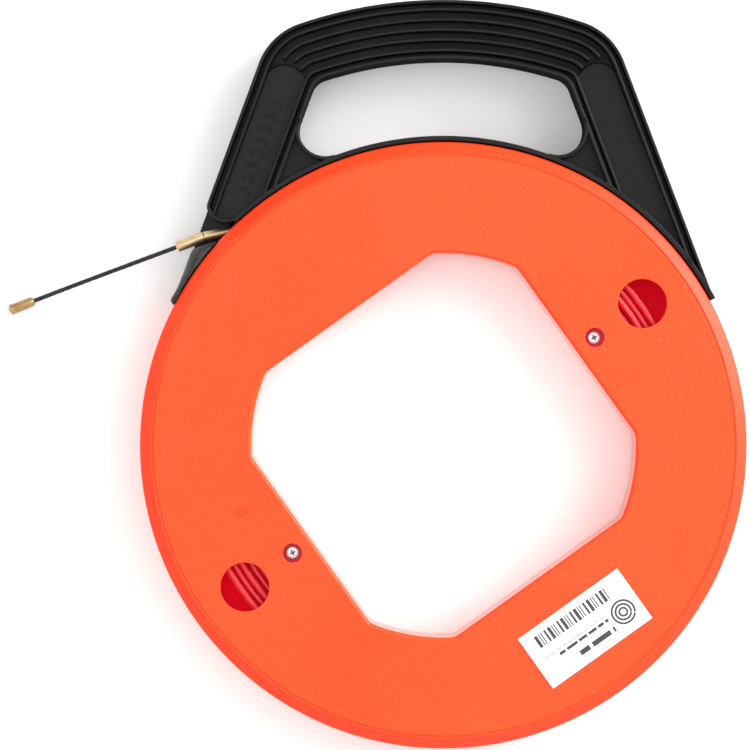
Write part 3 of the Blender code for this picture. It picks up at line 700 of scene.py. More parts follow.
def label_paper():
    return even_material(
        "label_paper", (1500.0, 3.0, 0.6), (0.74, 0.74, 0.73), (0.79, 0.79, 0.78),
        roughness=(0.42, 0.55), bump=(0.1, 0.03 * MM),
    )

def label_ink(name, shade):
    return even_material(
        name, (2500.0, 2.0), (shade, shade, shade), (shade * 1.3, shade * 1.3, shade * 1.3),
        roughness=(0.4, 0.5),
    )

def pale_floor():
    return even_material(
        "pale_floor", (3.0, 2.0), (0.96, 0.96, 0.96), (0.98, 0.98, 0.98),
        roughness=(0.7, 0.8), specular=0.2,
    )

# ---- camera, light and floor

def build_stage():
    camera = bpy.data.cameras.new("camera")
    camera.lens = CAMERA_LENS
    camera.clip_start = 0.1
    camera.clip_end = 50.0
    eye = show("camera", camera)
    eye.location = CAMERA_PLACE
    eye.rotation_euler = (0.0, 0.0, CAMERA_TURN)
    bpy.context.scene.camera = eye

    bm = bmesh.new()
    reach = 6.0
    corners = [(-reach, -reach), (reach, -reach), (reach, reach), (-reach, reach)]
    bm.faces.new([bm.verts.new((x, y, -0.2 * MM)) for x, y in corners])
    floor = new_object("floor", bm, [pale_floor()])

    softboxes = [
        ("overhead", (-0.3, 0.2, 3.2), 0.8, 10.0),
        ("right_softbox", (1.5, 0.85, 1.5), 1.4, 18.0),
        ("low_softbox", (1.78, 0.9, 0.5), 1.0, 64.0),
        ("front_softbox", (0.3, -1.9, 1.3), 1.2, 3.0),
    ]
    for name, spot, size, power in softboxes:
        light = bpy.data.lights.new(name, 'AREA')
        light.shape = 'SQUARE'
        light.size = size
        light.energy = power
        lamp = show(name, light)
        lamp.location = spot
        lamp.rotation_mode = 'QUATERNION'
        lamp.rotation_quaternion = (-Vector(spot)).to_track_quat('-Z', 'Y')

    world = bpy.data.worlds.new("studio")
    world.use_nodes = True
    background = world.node_tree.nodes["Background"]
    background.inputs["Color"].default_value = (1.0, 1.0, 1.0, 1.0)
    background.inputs["Strength"].default_value = 1.12
    bpy.context.scene.world = world
    bpy.context.scene.view_settings.view_transform = 'Standard'

# ---- tape end

def outlet_frame():
    """Local +X runs along the tape, into the case."""
    return Matrix.Translation(lifted(OUTLET, MID_Z)) @ Matrix.Rotation(OUTLET_TURN, 4, 'Z')

def level(turn):
    """A level direction, given by its angle in plan."""
    p = polar(1.0, turn)
    return Vector((p.x, p.y, 0.0))

def leader_ends():
    """Start and end of the leader."""
    start = outlet_frame().translation + level(SOCKET_TURN) * (SOCKET_LENGTH + 2 * GAP)
    end = start + level(LEADER_TURN) * LEADER_SPAN
    end.z = END_Z
    return start, end

def leader_route():
    """A stiff leader that sinks in one slow S from the outlet to the ground."""
    start, end = leader_ends()
    leaving = level(SOCKET_TURN) * LEADER_SPAN
    arriving = level(END_TURN) * LEADER_SPAN
    last = LEADER_POINTS - 1
    return [between(start, leaving, end, arriving, i / last) for i in range(LEADER_POINTS)]

def build_leader_cord(mat):
    """The leader as a rope of twisted strands along its route."""
    route = leader_route()
    fine = smooth_line(route, steps=16)
    sides = 40
    bm = bmesh.new()
    rings = []
    run = 0.0
    for i, point in enumerate(fine):
        if i:
            run += (point - fine[i - 1]).length
        ahead = fine[min(i + 1, len(fine) - 1)] - fine[max(i - 1, 0)]
        ahead.normalize()
        side = ahead.cross(Z_AXIS).normalized()
        up = side.cross(ahead)
        ring = []
        for k in range(sides):
            angle = 2 * math.pi * k / sides
            lobe = abs(math.sin(LEADER_STRANDS / 2 * (angle - 2 * math.pi * run / LEADER_LAY)))
            radius = LEADER_RADIUS * (1 - LEADER_GROOVE + LEADER_GROOVE * lobe ** 0.6)
            ring.append(bm.verts.new(point + (side * math.cos(angle) + up * math.sin(angle)) * radius))
        rings.append(ring)
    add_tube(bm, rings)
    leader = new_object("leader_rope", bm, [mat], smooth_angle=60.0)
    place(leader, "tape_end", "leader", "leader")
    return leader, route

def add_fitting(name, node, corners, point, direction, mat):
    """A turned brass piece, placed along a direction."""
    bm = bmesh.new()
    add_turned(bm, rounded_profile(corners), TURNED_STEPS, along(point, direction))
    return place(new_object(name, bm, [mat]), "tape_end", "brass", node)

def build_fittings(brass_mat, shaded_brass_mat, zinc_mat):
    """Brass pieces on the tape's end, and the pulling eye."""
    tape = outlet_frame()
    inward = (tape.to_3x3() @ Vector((1.0, 0.0, 0.0))).normalized()
    start = 0.05 * MM
    end = GAP + FERRULE_LENGTH
    r = FERRULE_RADIUS
    corners = [
        (0.0, start, 0.0),
        (r * 0.97, start, 0.25 * MM),
        (r, start + 1.6 * MM, 1.0 * MM),
        (FERRULE_NOSE_RADIUS, end, 0.35 * MM),
        (0.0, end, 0.0),
    ]
    joint = tape.translation
    ferrule = add_fitting("brass_ferrule", "tape_ferrule", corners, joint, inward, brass_mat)

    outward = level(SOCKET_TURN)
    length = SOCKET_LENGTH
    r = SOCKET_RADIUS
    hole = LEADER_RADIUS * 1.1
    corners = [
        (0.0, -0.3 * MM, 0.0),
        (r * 0.97, -0.3 * MM, 0.2 * MM),
        (r, 0.2 * MM, 0.2 * MM),
        (r, length - 0.6 * MM, 0.3 * MM),
        (r * 0.8, length, 0.2 * MM),
        (hole, length, 0.15 * MM),
        (hole * 0.95, length - 0.8 * MM, 0.0),
        (0.0, length - 0.8 * MM, 0.0),
    ]
    joint = tape.translation + outward * GAP
    socket = add_fitting("brass_socket", "leader_socket", corners, joint, outward, brass_mat)

    _, leader_end = leader_ends()
    onward = level(END_TURN)
    length = END_SOCKET_LENGTH
    r = END_SOCKET_RADIUS
    rim = END_RIM_RADIUS
    corners = [
        (0.0, 0.8 * MM, 0.0),
        (LEADER_RADIUS * 1.05, 0.8 * MM, 0.0),
        (hole, 0.0, 0.15 * MM),
        (r * 0.75, 0.0, 0.2 * MM),
        (r, 1.6 * MM, 0.4 * MM),
        (r, length - 1.1 * MM, 0.0),
        (rim, length - 1.0 * MM, 0.15 * MM),
        (rim, length, 0.2 * MM),
        (0.0, length, 0.0),
    ]
    joint = leader_end + onward * GAP
    # The end socket takes the darker copy of the brass, painted shade.
    tip = add_fitting("brass_end_socket", "end_socket", corners, joint, onward, shaded_brass_mat)
    eye = build_eye(leader_end + onward * (length + 2 * GAP), zinc_mat)
    return [ferrule, socket, tip, eye]

def build_eye(point, mat):
    """A level loop of round wire."""
    matrix = Matrix.Translation(point) @ Matrix.Rotation(END_TURN, 4, 'Z')
    half = EYE_WIDTH / 2 - EYE_WIRE - 0.05 * MM
    straight = EYE_LENGTH - 2 * EYE_WIRE - 2 * half - 0.1 * MM
    left = EYE_WIRE + half + 0.05 * MM
    step = math.radians(7.5)
    path = arc(Vector((left + straight, 0)), half, -math.pi / 2, math.pi / 2, step)
    path += arc(Vector((left, 0)), half, math.pi / 2, 1.5 * math.pi, step)
    sides = 20
    bm = bmesh.new()
    rings = []
    for i, middle in enumerate(path):
        ahead = path[(i + 1) % len(path)] - path[i - 1]
        normal = Vector((ahead.y, -ahead.x)).normalized()
        ring = []
        for k in range(sides):
            wire = polar(EYE_WIRE, 2 * math.pi * k / sides)
            flat = middle + normal * wire.x
            ring.append(bm.verts.new(matrix @ Vector((flat.x, flat.y, wire.y))))
        rings.append(ring)
    join_rings(bm, rings, closed=True)
    eye = new_object("wire_eye", bm, [mat], smooth_angle=60.0)
    return place(eye, "tape_end", "zinc", "pulling_eye")

def build_lead(mat):
    """The last straight stretch of cable, from the coil to the ferrule."""
    tape = outlet_frame()
    start = GAP + FERRULE_LENGTH + GAP + CORE_LENGTH + GAP
    points = [tape @ Vector((start + LEAD_LENGTH * i / 24, 0.0, 0.0)) for i in range(25)]
    lead = cable_curve("cable_lead", points, CABLE_RADIUS - SKIN, mat, resolution=6)
    place(lead, "tape_end", "cable", "tape_lead")

# ---- wound cable

def coil_row(turn):
    """Layer and row of one whole turn; the rows run up in one layer and down in the next."""
    layer, step = divmod(turn, COIL_ROWS)
    middle = (COIL_ROWS - 1) / 2
    height = step - middle - COIL_LEAN if layer % 2 == 0 else middle - step + COIL_LEAN
    return Vector((COIL_FIRST_RADIUS + COIL_PITCH * layer, MID_Z + height * COIL_RISE))

def coil_point(turns):
    """Where the cable lies after so many turns, counted from its inner end."""
    whole = math.floor(turns)
    part = turns - whole
    hop = min(max((part - COIL_HOP[0]) / COIL_HOP[1], 0.0), 1.0)
    hop = hop * hop * (3 - 2 * hop)
    row = coil_row(whole).lerp(coil_row(whole + 1), hop)
    angle = COIL_START + 2 * math.pi * part
    slack = math.sin(3 * angle + 1.7 * whole) + math.sin(5 * angle + 2.3 * whole)
    sway = math.sin(4 * angle + 1.1 * whole)
    p = polar(row.x + COIL_SLACK * slack, angle) + polar(COIL_SHIFT, COIL_SHIFT_TURN)
    return lifted(p, row.y + COIL_SLACK * sway)

def build_coil(mat):
    count = round(COIL_TURNS * COIL_STEPS)
    points = [coil_point(COIL_TURNS * i / count) for i in range(count + 1)]
    coil = cable_curve("wound_cable", points, CABLE_RADIUS - SKIN, mat, resolution=4)
    place(coil, "reel", "cable", "cable_coil")

# ---- case

def opening_radius(angle, flat, radius):
    """Distance from the axis to the opening's outline: a circle with four flats, corners softened."""
    off = (angle - REEL_TURN + math.pi / 4) % (math.pi / 2) - math.pi / 4
    near = min(radius, flat / math.cos(off))
    far = max(radius, flat / math.cos(off))
    return near - OPENING_SOFTNESS * math.log(1 + math.exp((near - far) / OPENING_SOFTNESS))

def case_angles():
    """Directions of the case's facets, closer together at the opening's corners."""
    corner = math.acos(OPENING_FLAT / OPENING_RADIUS)
    angles = []
    for quadrant in range(4):
        middle = REEL_TURN + quadrant * math.pi / 2
        off = -math.pi / 4
        while off < math.pi / 4 - 1e-9:
            angles.append(middle + off)
            close = abs(abs(off) - corner) < math.radians(2.4)
            off += math.radians(0.25 if close else 1.25)
    return angles

def case_section(angle):
    """Section of the front shell at one direction, from the opening's edge outwards and back."""
    hub = opening_radius(angle, OPENING_FLAT + SKIN, OPENING_RADIUS + SKIN)
    edge = opening_radius(angle, OPENING_FLAT + OPENING_EDGE, OPENING_RADIUS + OPENING_EDGE)
    back = opening_radius(angle, OPENING_FLAT + WALL, OPENING_RADIUS + WALL)
    top = CASE_TOP - SKIN
    rim = REEL_RADIUS - SKIN
    parting = MID_Z + HALF_GAP
    rim_inner = REEL_RADIUS - RIM_WALL
    inside = CASE_TOP - WALL
    slot = MID_Z + RIM_SLOT / 2 + SKIN
    corners = [
        (hub, parting, 0.25 * MM),
        (hub, CASE_TOP - OPENING_EDGE, 0.6 * MM),
        (edge, top, 0.6 * MM),
        (GROOVE_INNER, top, 0.25 * MM),
        (GROOVE_BOTTOM, top - GROOVE_DEPTH, 0.15 * MM),
        (CHAMFER_START, top - GROOVE_STEP, 0.3 * MM),
        (rim, CASE_TOP - CHAMFER_DEPTH, 2.4 * MM),
        (rim, slot, 0.5 * MM),
        (rim_inner, slot, 0.4 * MM),
        (rim_inner, inside - 1.5 * MM, 0.0),
        (rim_inner - 1.8 * MM, inside, 0.0),
        (back, inside, 0.0),
        (back, parting, 0.0),
    ]
    return [Vector(p) for p in rounded_profile(corners)]

def case_slot(here, there, hub):
    """Material slot of the face between two corners of the section."""
    near = min(here.x, there.x)
    far = max(here.x, there.x)
    low = min(here.y, there.y)
    high = max(here.y, there.y)
    if far < hub + SKIN / 4:
        return CASE_SLOTS["bore"]
    # Inside faces take the deep red with the painted glow.
    within = far < REEL_RADIUS - RIM_WALL + SKIN and high < CASE_TOP - WALL + SKIN
    if within and near > hub + WALL / 2:
        return CASE_SLOTS["inside"]
    # The chamfer takes the darker copy of the orange, painted shade.
    outside = near > CHAMFER_START - 0.2 * MM
    if outside and low > CASE_TOP - CHAMFER_DEPTH - 2.0 * MM:
        return CASE_SLOTS["chamfer"]
    return CASE_SLOTS["face"]

def add_case_ring(bm, mirrored):
    """The shell's section carried round the reel's axis."""
    rings = []
    slots = []
    for angle in case_angles():
        section = case_section(angle)
        hub = min(p.x for p in section)
        slots += [case_slot(p, q, hub) for p, q in zip(section, section[1:] + section[:1])]
        ring = []
        for p in section:
            spot = polar(p.x, angle)
            z = 2 * MID_Z - p.y if mirrored else p.y
            ring.append(bm.verts.new(lifted(spot, z)))
        rings.append(ring)
    for face, slot in zip(join_rings(bm, rings, closed=True), slots):
        face.material_index = slot

def spot_at(radius, angle, z=0.0):
    return lifted(polar(radius, angle), z)

def screw_spots():
    return [spot_at(SCREW_CENTRE, REEL_TURN + turn) for turn in (0.0, math.pi)]

def column(radius, low, high):
    """Profile of a plain round post or hole."""
    return [(0.0, low), (radius, low), (radius, high), (0.0, high)]

def add_columns(bm, profile, steps):
    """The same post or hole at both screws."""
    for spot in screw_spots():
        add_turned(bm, profile, steps, Matrix.Translation(spot))

def flared_cutter(bm, radius, low, spot, slot):
    """A cutter that leaves a rounded lip where it meets the front face."""
    before = set(bm.faces)
    top = CASE_TOP - SKIN
    lip = CUTTER_LIP
    profile = [(0.0, low), (radius, low), (radius, top - lip)]
    for k in range(1, 4):
        a = math.pi / 2 * k / 4
        profile.append((radius + lip * (1 - math.cos(a)), top - lip * (1 - math.sin(a))))
    profile += [(radius + lip, top), (radius + lip, CUTTER_TOP), (0.0, CUTTER_TOP)]
    add_turned(bm, profile, 72, Matrix.Translation(spot))
    for face in set(bm.faces) - before:
        if face.calc_center_median().z < top - lip:
            face.material_index = slot

def build_front_case(mats):
    bm = bmesh.new()
    add_case_ring(bm, mirrored=False)
    case = new_object("front_case", bm, mats)

    bm = bmesh.new()
    add_columns(bm, column(BOSS_RADIUS, MID_Z + HALF_GAP, CASE_TOP - WALL / 2), 48)
    carve(case, 'UNION', bm)

    bm = bmesh.new()
    # Counterbore walls take the crimson copy of the orange, painted shade.
    for spot in screw_spots():
        flared_cutter(bm, COUNTERBORE_RADIUS, COUNTERBORE_FLOOR, spot, CASE_SLOTS["recess"])
    for turn in (0.0, math.pi):
        spot = spot_at(WINDOW_CENTRE, REEL_TURN + turn)
        flared_cutter(bm, WINDOW_RADIUS, MID_Z + 1.0 * MM, spot, CASE_SLOTS["face"])
    carve(case, 'DIFFERENCE', bm)

    bm = bmesh.new()
    add_columns(bm, column(SCREW_HOLE_RADIUS, 0.0, COUNTERBORE_FLOOR + 3.0 * MM), 32)
    carve(case, 'DIFFERENCE', bm)
    even_shading(case)
    place(case, "reel", "case", "front_shell")

def build_rear_case(mats):
    bm = bmesh.new()
    add_case_ring(bm, mirrored=True)
    case = new_object("rear_case", bm, mats)

    bm = bmesh.new()
    add_columns(bm, column(BOSS_RADIUS, WALL / 2, MID_Z - HALF_GAP), 48)
    anchor = anchor_frame()
    for x in (-POST_X, POST_X):
        for y in (-POST_Y, POST_Y):
            add_box(bm, POST_SIZE, anchor @ Matrix.Translation((x, y, POST_Z)))
    carve(case, 'UNION', bm)

    bm = bmesh.new()
    add_columns(bm, column(SCREW_HOLE_RADIUS, SCREW_HOLE_FLOOR, CASE_TOP), 32)
    carve(case, 'DIFFERENCE', bm)
    even_shading(case)
    place(case, "reel", "case", "rear_shell")

def anchor_frame():
    """Local +X runs along the cable's inner end, +Y away from the axis."""
    spot = spot_at(ANCHOR_RADIUS, ANCHOR_TURN, MID_Z)
    return Matrix.Translation(spot) @ Matrix.Rotation(REEL_TURN, 4, 'Z')

def build_screw(name, node, spot, mats):
    top = SCREW_SEAT + SCREW_HEAD_HEIGHT
    corners = [
        (0.0, SCREW_TIP_Z, 0.0),
        (SCREW_SHANK_RADIUS * 0.3, SCREW_TIP_Z, 0.1 * MM),
        (SCREW_SHANK_RADIUS, SCREW_TIP_Z + 2.0 * MM, 0.2 * MM),
        (SCREW_SHANK_RADIUS, SCREW_SEAT, 0.0),
        (SCREW_HEAD_RADIUS - SKIN, SCREW_SEAT, 0.15 * MM),
        (SCREW_HEAD_RADIUS - SKIN, SCREW_SEAT + SCREW_HEAD_HEIGHT * 0.8, 0.25 * MM),
        (SCREW_HEAD_RADIUS * 0.93, SCREW_SEAT + SCREW_HEAD_HEIGHT * 0.93, 0.2 * MM),
        (SCREW_HEAD_RADIUS * 0.6, top - SKIN, 1.5 * MM),
        (0.0, top - SKIN, 0.0),
    ]
    bm = bmesh.new()
    add_turned(bm, rounded_profile(corners), TURNED_STEPS, Matrix.Translation(spot))
    screw = new_object(name, bm, mats)
    for turn in (0.0, math.pi / 2):
        bm = bmesh.new()
        turned = Matrix.Rotation(turn + RECESS_TURN, 4, 'Z')
        matrix = Matrix.Translation(spot + Z_AXIS * top) @ turned
        add_box(bm, Vector((RECESS_SPAN, RECESS_WIDTH, RECESS_DEPTH * 2)), matrix)
        for v in bm.verts:
            local = matrix.inverted() @ v.co
            if local.z < 0:
                local.x *= RECESS_TAPER[0]
                local.y *= RECESS_TAPER[1]
                v.co = matrix @ local
        # The cross recess takes the dark copy of the zinc, painted shade.
        for face in bm.faces:
            face.material_index = 1
        carve(screw, 'DIFFERENCE', bm)
    place(screw, "reel", "zinc", node)

def build_mark(mat):
    """A small plain moulded ring on the front face."""
    bm = bmesh.new()
    low = CASE_TOP - WALL / 2
    high = CASE_TOP + MARK_HEIGHT
    inner = MARK_RADIUS - MARK_WIDTH / 2
    outer = MARK_RADIUS + MARK_WIDTH / 2
    edge = 0.2 * MM
    corners = [(inner, low, 0.0), (outer, low, 0.0), (outer, high, edge), (inner, high, edge)]
    section = rounded_profile(corners)
    steps = 64
    rings = []
    for i in range(steps):
        angle = 2 * math.pi * i / steps
        ring = []
        for radius, z in section:
            ring.append(bm.verts.new(lifted(MARK, z) + level(angle) * radius))
        rings.append(ring)
    join_rings(bm, rings, closed=True)
    mark = new_object("moulded_mark", bm, [mat])
    place(mark, "reel", "case")

def label_block(bm, x, y, length, width, low, high, material=0):
    """A flat rectangle on the label, placed from the label's middle, in its own axes."""
    turned = Matrix.Rotation(REEL_TURN, 2)
    middle = polar(LABEL_CENTRE, LABEL_TURN)
    half = Vector((length / 2, width / 2))
    signs = ((-1, -1), (1, -1), (1, 1), (-1, 1))
    corners = [Vector((x, y)) + Vector((half.x * a, half.y * b)) for a, b in signs]
    outline = [middle + turned @ corner for corner in corners]
    before = set(bm.faces)
    add_prism(bm, outline, low, high, edge=0.0)
    for face in bm.faces:
        if face not in before:
            face.material_index = material

def build_label(paper, dark, grey):
    """A white sticker with a thin inset frame, and plain marks where print would be."""
    low = CASE_TOP + 0.05 * MM
    high = CASE_TOP + LABEL_TOP
    ink = high + INK
    bm = bmesh.new()
    label_block(bm, 0.0, 0.0, LABEL_LENGTH - 0.1 * MM, LABEL_WIDTH - 0.1 * MM, low, high)
    label = new_object("sticker", bm, [paper])
    place(label, "reel", "label", "label_sticker")

    bm = bmesh.new()
    half = LABEL_FRAME
    thin = LABEL_LINE
    for side in (-1, 1):
        label_block(bm, 0.0, side * half.y, 2 * half.x, thin, high, ink, 1)
    for side in (-1, 1):
        label_block(bm, side * half.x, 0.0, thin, 2 * half.y, high, ink, 1)
    for y in (1.9, -6.0):
        label_block(bm, -7.4 * MM, y * MM, 37.2 * MM, thin, high, ink, 1)

    x = -23.6
    for i in range(22):
        width = 0.55 + 0.55 * ((i * 5 + 2) % 4 % 3)
        label_block(bm, (x + width / 2) * MM, 8.0 * MM, width * MM, 6.6 * MM, high, ink, 0)
        x += width + 0.75 + 0.35 * (i * 3 % 4 % 3)
    rows = [(-0.7, 0.9, -25.0, 11.0, 1), (-3.1, 1.5, -17.6, 12.0, 0), (-8.8, 2.6, -9.0, 12.4, 0)]
    for y, height, start, stop, shade in rows:
        x = start
        i = 0
        while x < stop:
            word = min(height * (2.2 + i * 7 % 5 % 3), stop - x)
            label_block(bm, (x + word / 2) * MM, y * MM, word * MM, height * MM, high, ink, shade)
            x += word + height * 0.7
            i += 1
    aside = Matrix.Rotation(REEL_TURN, 2) @ (Vector((20.4, -4.2)) * MM)
    centre = polar(LABEL_CENTRE, LABEL_TURN) + aside
    for radius in (5.8, 3.9, 2.0):
        ring = arc(centre, radius * MM, 0.0, 2 * math.pi * 0.99, math.radians(6))
        add_prism(bm, ribbon(ring, 1.0 * MM), high, ink, edge=0.0)
    print_marks = new_object("sticker_print", bm, [dark, grey])
    place(print_marks, "reel", "label")

# ---- handle

def leg_end(offset, radius):
    """Direction in which the line at an offset inside the right leg's edge meets a circle."""
    return LEG_TILT + math.acos((LEG_DISTANCE - offset) / radius)

def shoulder(offset, corner):
    """Centre of the corner between leg and grip, and its direction from the axis."""
    across = LEG_DISTANCE - offset - corner
    reach = GRIP_RADIUS - offset - corner
    turn = LEG_TILT + math.acos(across / reach)
    return polar(reach, turn), turn

def half_arch(offset, corner=None):
    """Right half of the line at an offset inside the handle's edge, from leg to top."""
    if corner is None:
        corner = max(SHOULDER_RADIUS - offset, 4.0 * MM)
    centre, turn = shoulder(offset, corner)
    points = arc(centre, corner, LEG_TILT, turn, ARC_STEP * 2)
    return points[:-1] + arc(ORIGIN, GRIP_RADIUS - offset, turn, math.pi / 2)

def right_line(offset, foot_radius):
    """The same line, begun where the leg meets a circle round the reel."""
    return [polar(foot_radius, leg_end(offset, foot_radius))] + half_arch(offset)

def leg_point(offset, rise):
    """A point of the right leg, from its edge inwards and along it."""
    across = polar(1.0, LEG_TILT)
    return across * (LEG_DISTANCE - offset) + left_of(across) * rise

def left_floor(outline):
    """A hollow's floor on the left leg, stopped at the wall above the tape outlet."""
    return clipped(mirror(outline), LEFT_FOOT)

def add_floor(bm, outline, web, edge=0.0):
    """A web at mid height in both legs."""
    for half in (outline, left_floor(outline)):
        add_prism(bm, half, MID_Z - web / 2, MID_Z + web / 2, edge)

def grip_floor_outline():
    """Right half of the band, from its edge to the hand hole."""
    outer = right_line(FLOOR_INSET, RAIL_POCKET)
    inner = right_line(BAND_WIDTH - FLOOR_INSET, RAIL_POCKET)
    return outer + inner[::-1]

def panel_floor_outline():
    """Thicker floor of the right leg, with a rounded upper end."""
    outer = RIB_OFFSETS[0] + 0.2 * MM
    inner = RIB_OFFSETS[-1] - 0.2 * MM
    foot = arc(ORIGIN, LEG_FOOT, leg_end(inner, PANEL_FOOT), leg_end(outer, PANEL_FOOT))
    return foot + smooth_line(PANEL_TOP)

def triangle_floor_outline():
    """Floor between the leg, the hand hole's lower corner and the rail."""
    lower = leg_end(BAND_WIDTH - FLOOR_INSET, LEG_FOOT)
    radius = HOLE_FOOT_RADIUS + INNER_WALL / 2
    lip = arc(hole_foot(), radius, LEG_TILT, math.radians(-75), ARC_STEP * 4)
    last = lip[-1]
    return lip + arc(ORIGIN, LEG_FOOT, math.atan2(last.y, last.x), lower)

def hole_foot():
    """Centre of the hand hole's lower right corner."""
    return leg_point(BAND_WIDTH + HOLE_FOOT_RADIUS, HOLE_FOOT_RISE)

def add_wall(bm, line, width, edge, round_ends=False):
    """A wall of full height along a line."""
    add_prism(bm, ribbon(line, width, round_ends), HANDLE_LOW + SKIN, HANDLE_HIGH - SKIN, edge)

def begun_at(points, axis, value):
    """An open line, begun where its x (axis 0) or y (axis 1) passes a value."""
    for i, (a, b) in enumerate(zip(points, points[1:])):
        if (a[axis] - value) * (b[axis] - value) < 0:
            share = (value - a[axis]) / (b[axis] - a[axis])
            return [a.lerp(b, share)] + points[i + 1:]
    return points

def full_line(offset, left_height):
    """From the right leg's foot over the grip to a height on the left leg."""
    right = right_line(offset, LEG_FOOT)
    return right + mirror(begun_at(right, 1, left_height))[1:]

def add_ribs(bm):
    for offset, end in zip(RIB_OFFSETS[1:-1], RIB_ENDS):
        right = begun_at(half_arch(offset), 0, end)
        add_wall(bm, right + mirror(right)[1:], RIB, RIB_EDGE, round_ends=True)
    add_wall(bm, full_line(RIB_OFFSETS[0], LEFT_RIB_FOOT), RIB, RIB_EDGE)
    add_wall(bm, full_line(RIB_OFFSETS[-1], 0.0), RIB, RIB_EDGE)

def add_outer_wall(bm):
    """Edge of the handle, closed below the left leg by a rounded end."""
    right = right_line(WALL_LINE, RAIL_INNER + 1.4 * MM)
    left = mirror(begun_at(right, 1, LEFT_FOOT[0].y + 0.5 * MM))
    foot = smooth_line(LEFT_FOOT)
    add_wall(bm, right + left[1:] + foot, OUTER_WALL, WALL_EDGE)

def add_inner_wall(bm):
    """Lip round the hand hole, with its straight runs down to the rail; its sides are dull."""
    before = set(bm.faces)
    offset = BAND_WIDTH - INNER_WALL / 2
    corner = HOLE_SHOULDER_RADIUS + INNER_WALL / 2
    right = [polar(LEG_FOOT, leg_end(offset, LEG_FOOT))] + half_arch(offset, corner)
    radius = HOLE_FOOT_RADIUS + INNER_WALL / 2
    lip = arc(hole_foot(), radius, LEG_TILT + 0.1, math.radians(-110), ARC_STEP * 3)
    for line in (right + mirror(right)[1:], lip, mirror(lip)):
        add_wall(bm, line, INNER_WALL, WALL_EDGE)
    bm.normal_update()
    for face in set(bm.faces) - before:
        if abs(face.normal.z) < 0.5:
            face.material_index = HANDLE_SLOTS["hole"]

def add_rail(bm):
    """Curved rail round the case, open where the tape passes."""
    middle = (RAIL_INNER + RAIL_OUTER) / 2
    width = RAIL_OUTER - RAIL_INNER
    add_wall(bm, arc(ORIGIN, middle, RAIL_START, RAIL_GAP[0]), width, WALL_EDGE)
    floor = arc(ORIGIN, middle, RAIL_GAP[0] - 0.01, RAIL_GAP[1] + 0.01)
    add_prism(bm, ribbon(floor, width), HANDLE_LOW + SKIN, OUTLET_FLOOR, 0.3 * MM)

def add_foot(bm):
    """Solid foot of the left leg, below the tape outlet, and the floor of the outlet's recess."""
    count = 28
    rings = []
    for i in range(count + 1):
        share = i / count
        angle = FOOT_START + (FOOT_END - FOOT_START) * share
        fan = FOOT_EDGE_START + (FOOT_END - FOOT_EDGE_START) * share
        inner = polar(RAIL_INNER, angle)
        outer = FOOT_CORNER.lerp(polar(foot_radius(fan), fan), min(share * 8, 1.0))
        left_over = min((FOOT_END - angle) / FOOT_BLUNT, 1.0)
        squeeze = math.sqrt(max(1 - (1 - left_over) ** 2, 0.04))
        outer = inner.lerp(outer, squeeze)
        drop = (1 - squeeze) * 2.0 * MM + (1 - min(share * 14, 1.0)) * 0.8 * MM
        rings.append(foot_ring(bm, inner, outer, drop))
    for face in add_tube(bm, rings):
        face.material_index = HANDLE_SLOTS["foot"]

    edge = flipped(leg_point(0.6 * MM, rise) for rise in (42.0 * MM, 78.0 * MM))
    inner = arc(ORIGIN, RAIL_INNER + 0.6 * MM, math.radians(131.0), math.radians(147.0))
    add_prism(bm, inner + edge, HANDLE_LOW + 0.5 * MM, OUTLET_FLOOR, 0.3 * MM)

def foot_radius(angle):
    """Outer edge of the foot: the leg's edge until it runs into the rail."""
    edge = (LEG_DISTANCE - 0.4 * MM) / math.cos(math.pi - angle - LEG_TILT)
    return max(edge, RAIL_OUTER)

def foot_ring(bm, inner, outer, drop):
    """One section of the foot: upright inside, rounded over to the outside."""
    low = HANDLE_LOW + SKIN + drop
    high = HANDLE_HIGH - SKIN - drop
    width = (outer - inner).length
    crown = min(FOOT_CROWN, width * 0.92)
    edge = min(0.5 * MM, width * 0.1)
    corners = [Vector((0.0, low)), Vector((width, low)), Vector((width, high)), Vector((0.0, high))]
    section = filleted(corners, [edge, crown, crown, edge], steps=6)
    ring = []
    for p in section:
        spot = inner.lerp(outer, p.x / width)
        ring.append(bm.verts.new(lifted(spot, p.y)))
    return ring

def add_leg_relief(bm):
    """A row of fine raised chevrons along the left leg's panel."""
    low = MID_Z + PANEL_WEB / 2 - 0.2 * MM
    high = MID_Z + PANEL_WEB / 2 + 0.5 * MM
    tips = [(-CHEVRON_REACH, 0.0), (0.0, CHEVRON_REACH * 0.75), (CHEVRON_REACH, 0.0)]
    for i in range(CHEVRONS):
        for shift in (0.0, CHEVRON_DOUBLE):
            rise = CHEVRON_FIRST + CHEVRON_PITCH * i + shift
            line = flipped(leg_point(CHEVRON_MIDDLE + across, rise + up) for across, up in tips)
            add_prism(bm, ribbon(line, CHEVRON_STROKE), low, high, 0.2 * MM)

def build_handle(mats):
    bm = bmesh.new()
    add_floor(bm, grip_floor_outline(), GRIP_WEB)
    add_floor(bm, panel_floor_outline(), PANEL_WEB, edge=0.9 * MM)
    add_floor(bm, triangle_floor_outline(), PANEL_WEB)
    add_ribs(bm)
    add_outer_wall(bm)
    add_inner_wall(bm)
    add_rail(bm)
    add_foot(bm)
    add_leg_relief(bm)
    handle = new_object("handle_moulding", bm, mats)
    even_shading(handle)
    place(handle, "handle", "handle", "handle")

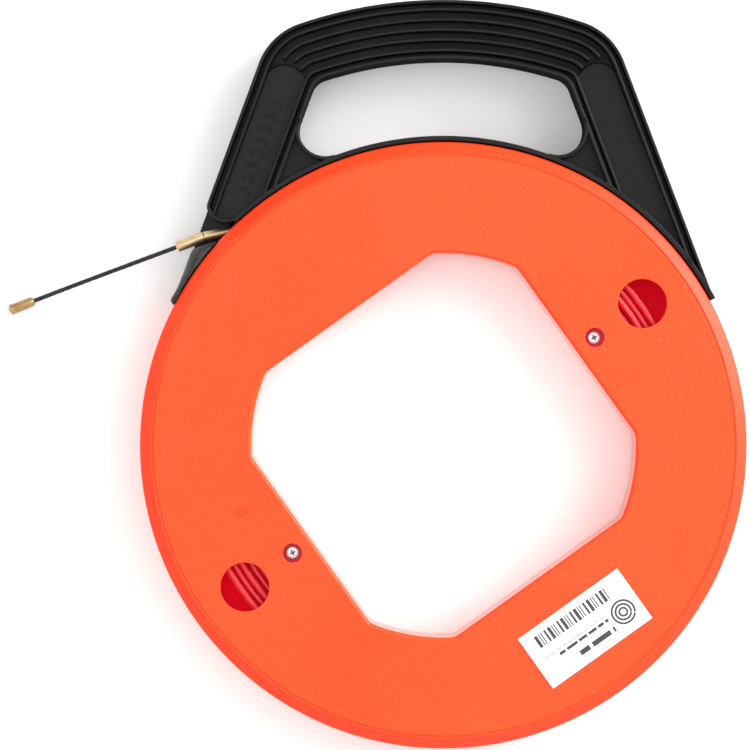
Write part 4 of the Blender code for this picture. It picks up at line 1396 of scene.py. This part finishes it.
def build_tongue(mat):
    """Web and hooked head that hold the handle in the reel's rim slot."""
    web = TONGUE_WEB / 2 - SKIN
    head = TONGUE_HEAD / 2 - SKIN
    root = RAIL_INNER + 0.8 * MM
    lower = [
        (TONGUE_HEAD_INNER, -head),
        (TONGUE_HEAD_OUTER, -head),
        (TONGUE_HEAD_OUTER, -web),
        (root, -web),
    ]
    corners = lower + [(radius, -z) for radius, z in reversed(lower)]
    rounding = [0.6 * MM, 0.6 * MM, 0.3 * MM, 0.0, 0.0, 0.3 * MM, 0.6 * MM, 0.6 * MM]
    section = filleted([Vector(c) for c in corners], rounding)
    count = 120
    bm = bmesh.new()
    rings = []
    for i in range(count + 1):
        angle = TONGUE_START + (math.pi - 2 * TONGUE_START) * i / count
        rings.append([bm.verts.new(spot_at(p.x, angle, MID_Z + p.y)) for p in section])
    add_tube(bm, rings)
    tongue = new_object("handle_tongue", bm, [mat])
    bm = bmesh.new()
    tunnel = outlet_frame() @ Matrix.Translation((TUNNEL_MIDDLE, 0.0, 0.0))
    add_box(bm, TUNNEL_SIZE, tunnel)
    carve(tongue, 'DIFFERENCE', bm)
    even_shading(tongue)
    place(tongue, "handle", "handle", "handle")

def main():
    build_stage()
    brass_mat = brass("brass", (0.56, 0.41, 0.22), (0.7, 0.54, 0.33))
    # The end socket's brass is a darker copy of the same brass: painted shade.
    shaded_brass_mat = brass("shaded_brass", (0.34, 0.21, 0.09), (0.46, 0.3, 0.14))
    zinc_mat = zinc()
    red = red_sheath()
    leader, route = build_leader_cord(leader_sheath())
    fittings = build_fittings(brass_mat, shaded_brass_mat, zinc_mat)
    build_lead(red)
    build_coil(red)

    # The inside, recess and chamfer materials are copies of the orange with painted glow and painted
    # shade.
    case_mats = [orange_plastic(), polished_orange(), painted_glow_red(), painted_shade_red(), shaded_smooth_orange()]
    build_front_case(case_mats)
    build_rear_case(case_mats)
    build_mark(case_mats[0])
    # The second screw material is the dark copy of the zinc, painted shade.
    screw_mats = [zinc_mat, painted_shade_steel()]
    names = (("upper_screw", "case_screw_upper"), ("lower_screw", "case_screw_lower"))
    for (name, node), spot in zip(names, screw_spots()):
        build_screw(name, node, spot, screw_mats)
    build_label(label_paper(), label_ink("dark_ink", 0.03), label_ink("grey_ink", 0.35))

    black = black_plastic()
    build_handle([black, gloss_black(), matt_black()])
    build_tongue(black)

    steel = cable_steel()
    for node, mat in (("anchor_sleeve", steel), ("cable_tail", red), ("tape_core", steel)):
        frame["nodes"][node].data.materials.clear()
        frame["nodes"][node].data.materials.append(mat)

main()
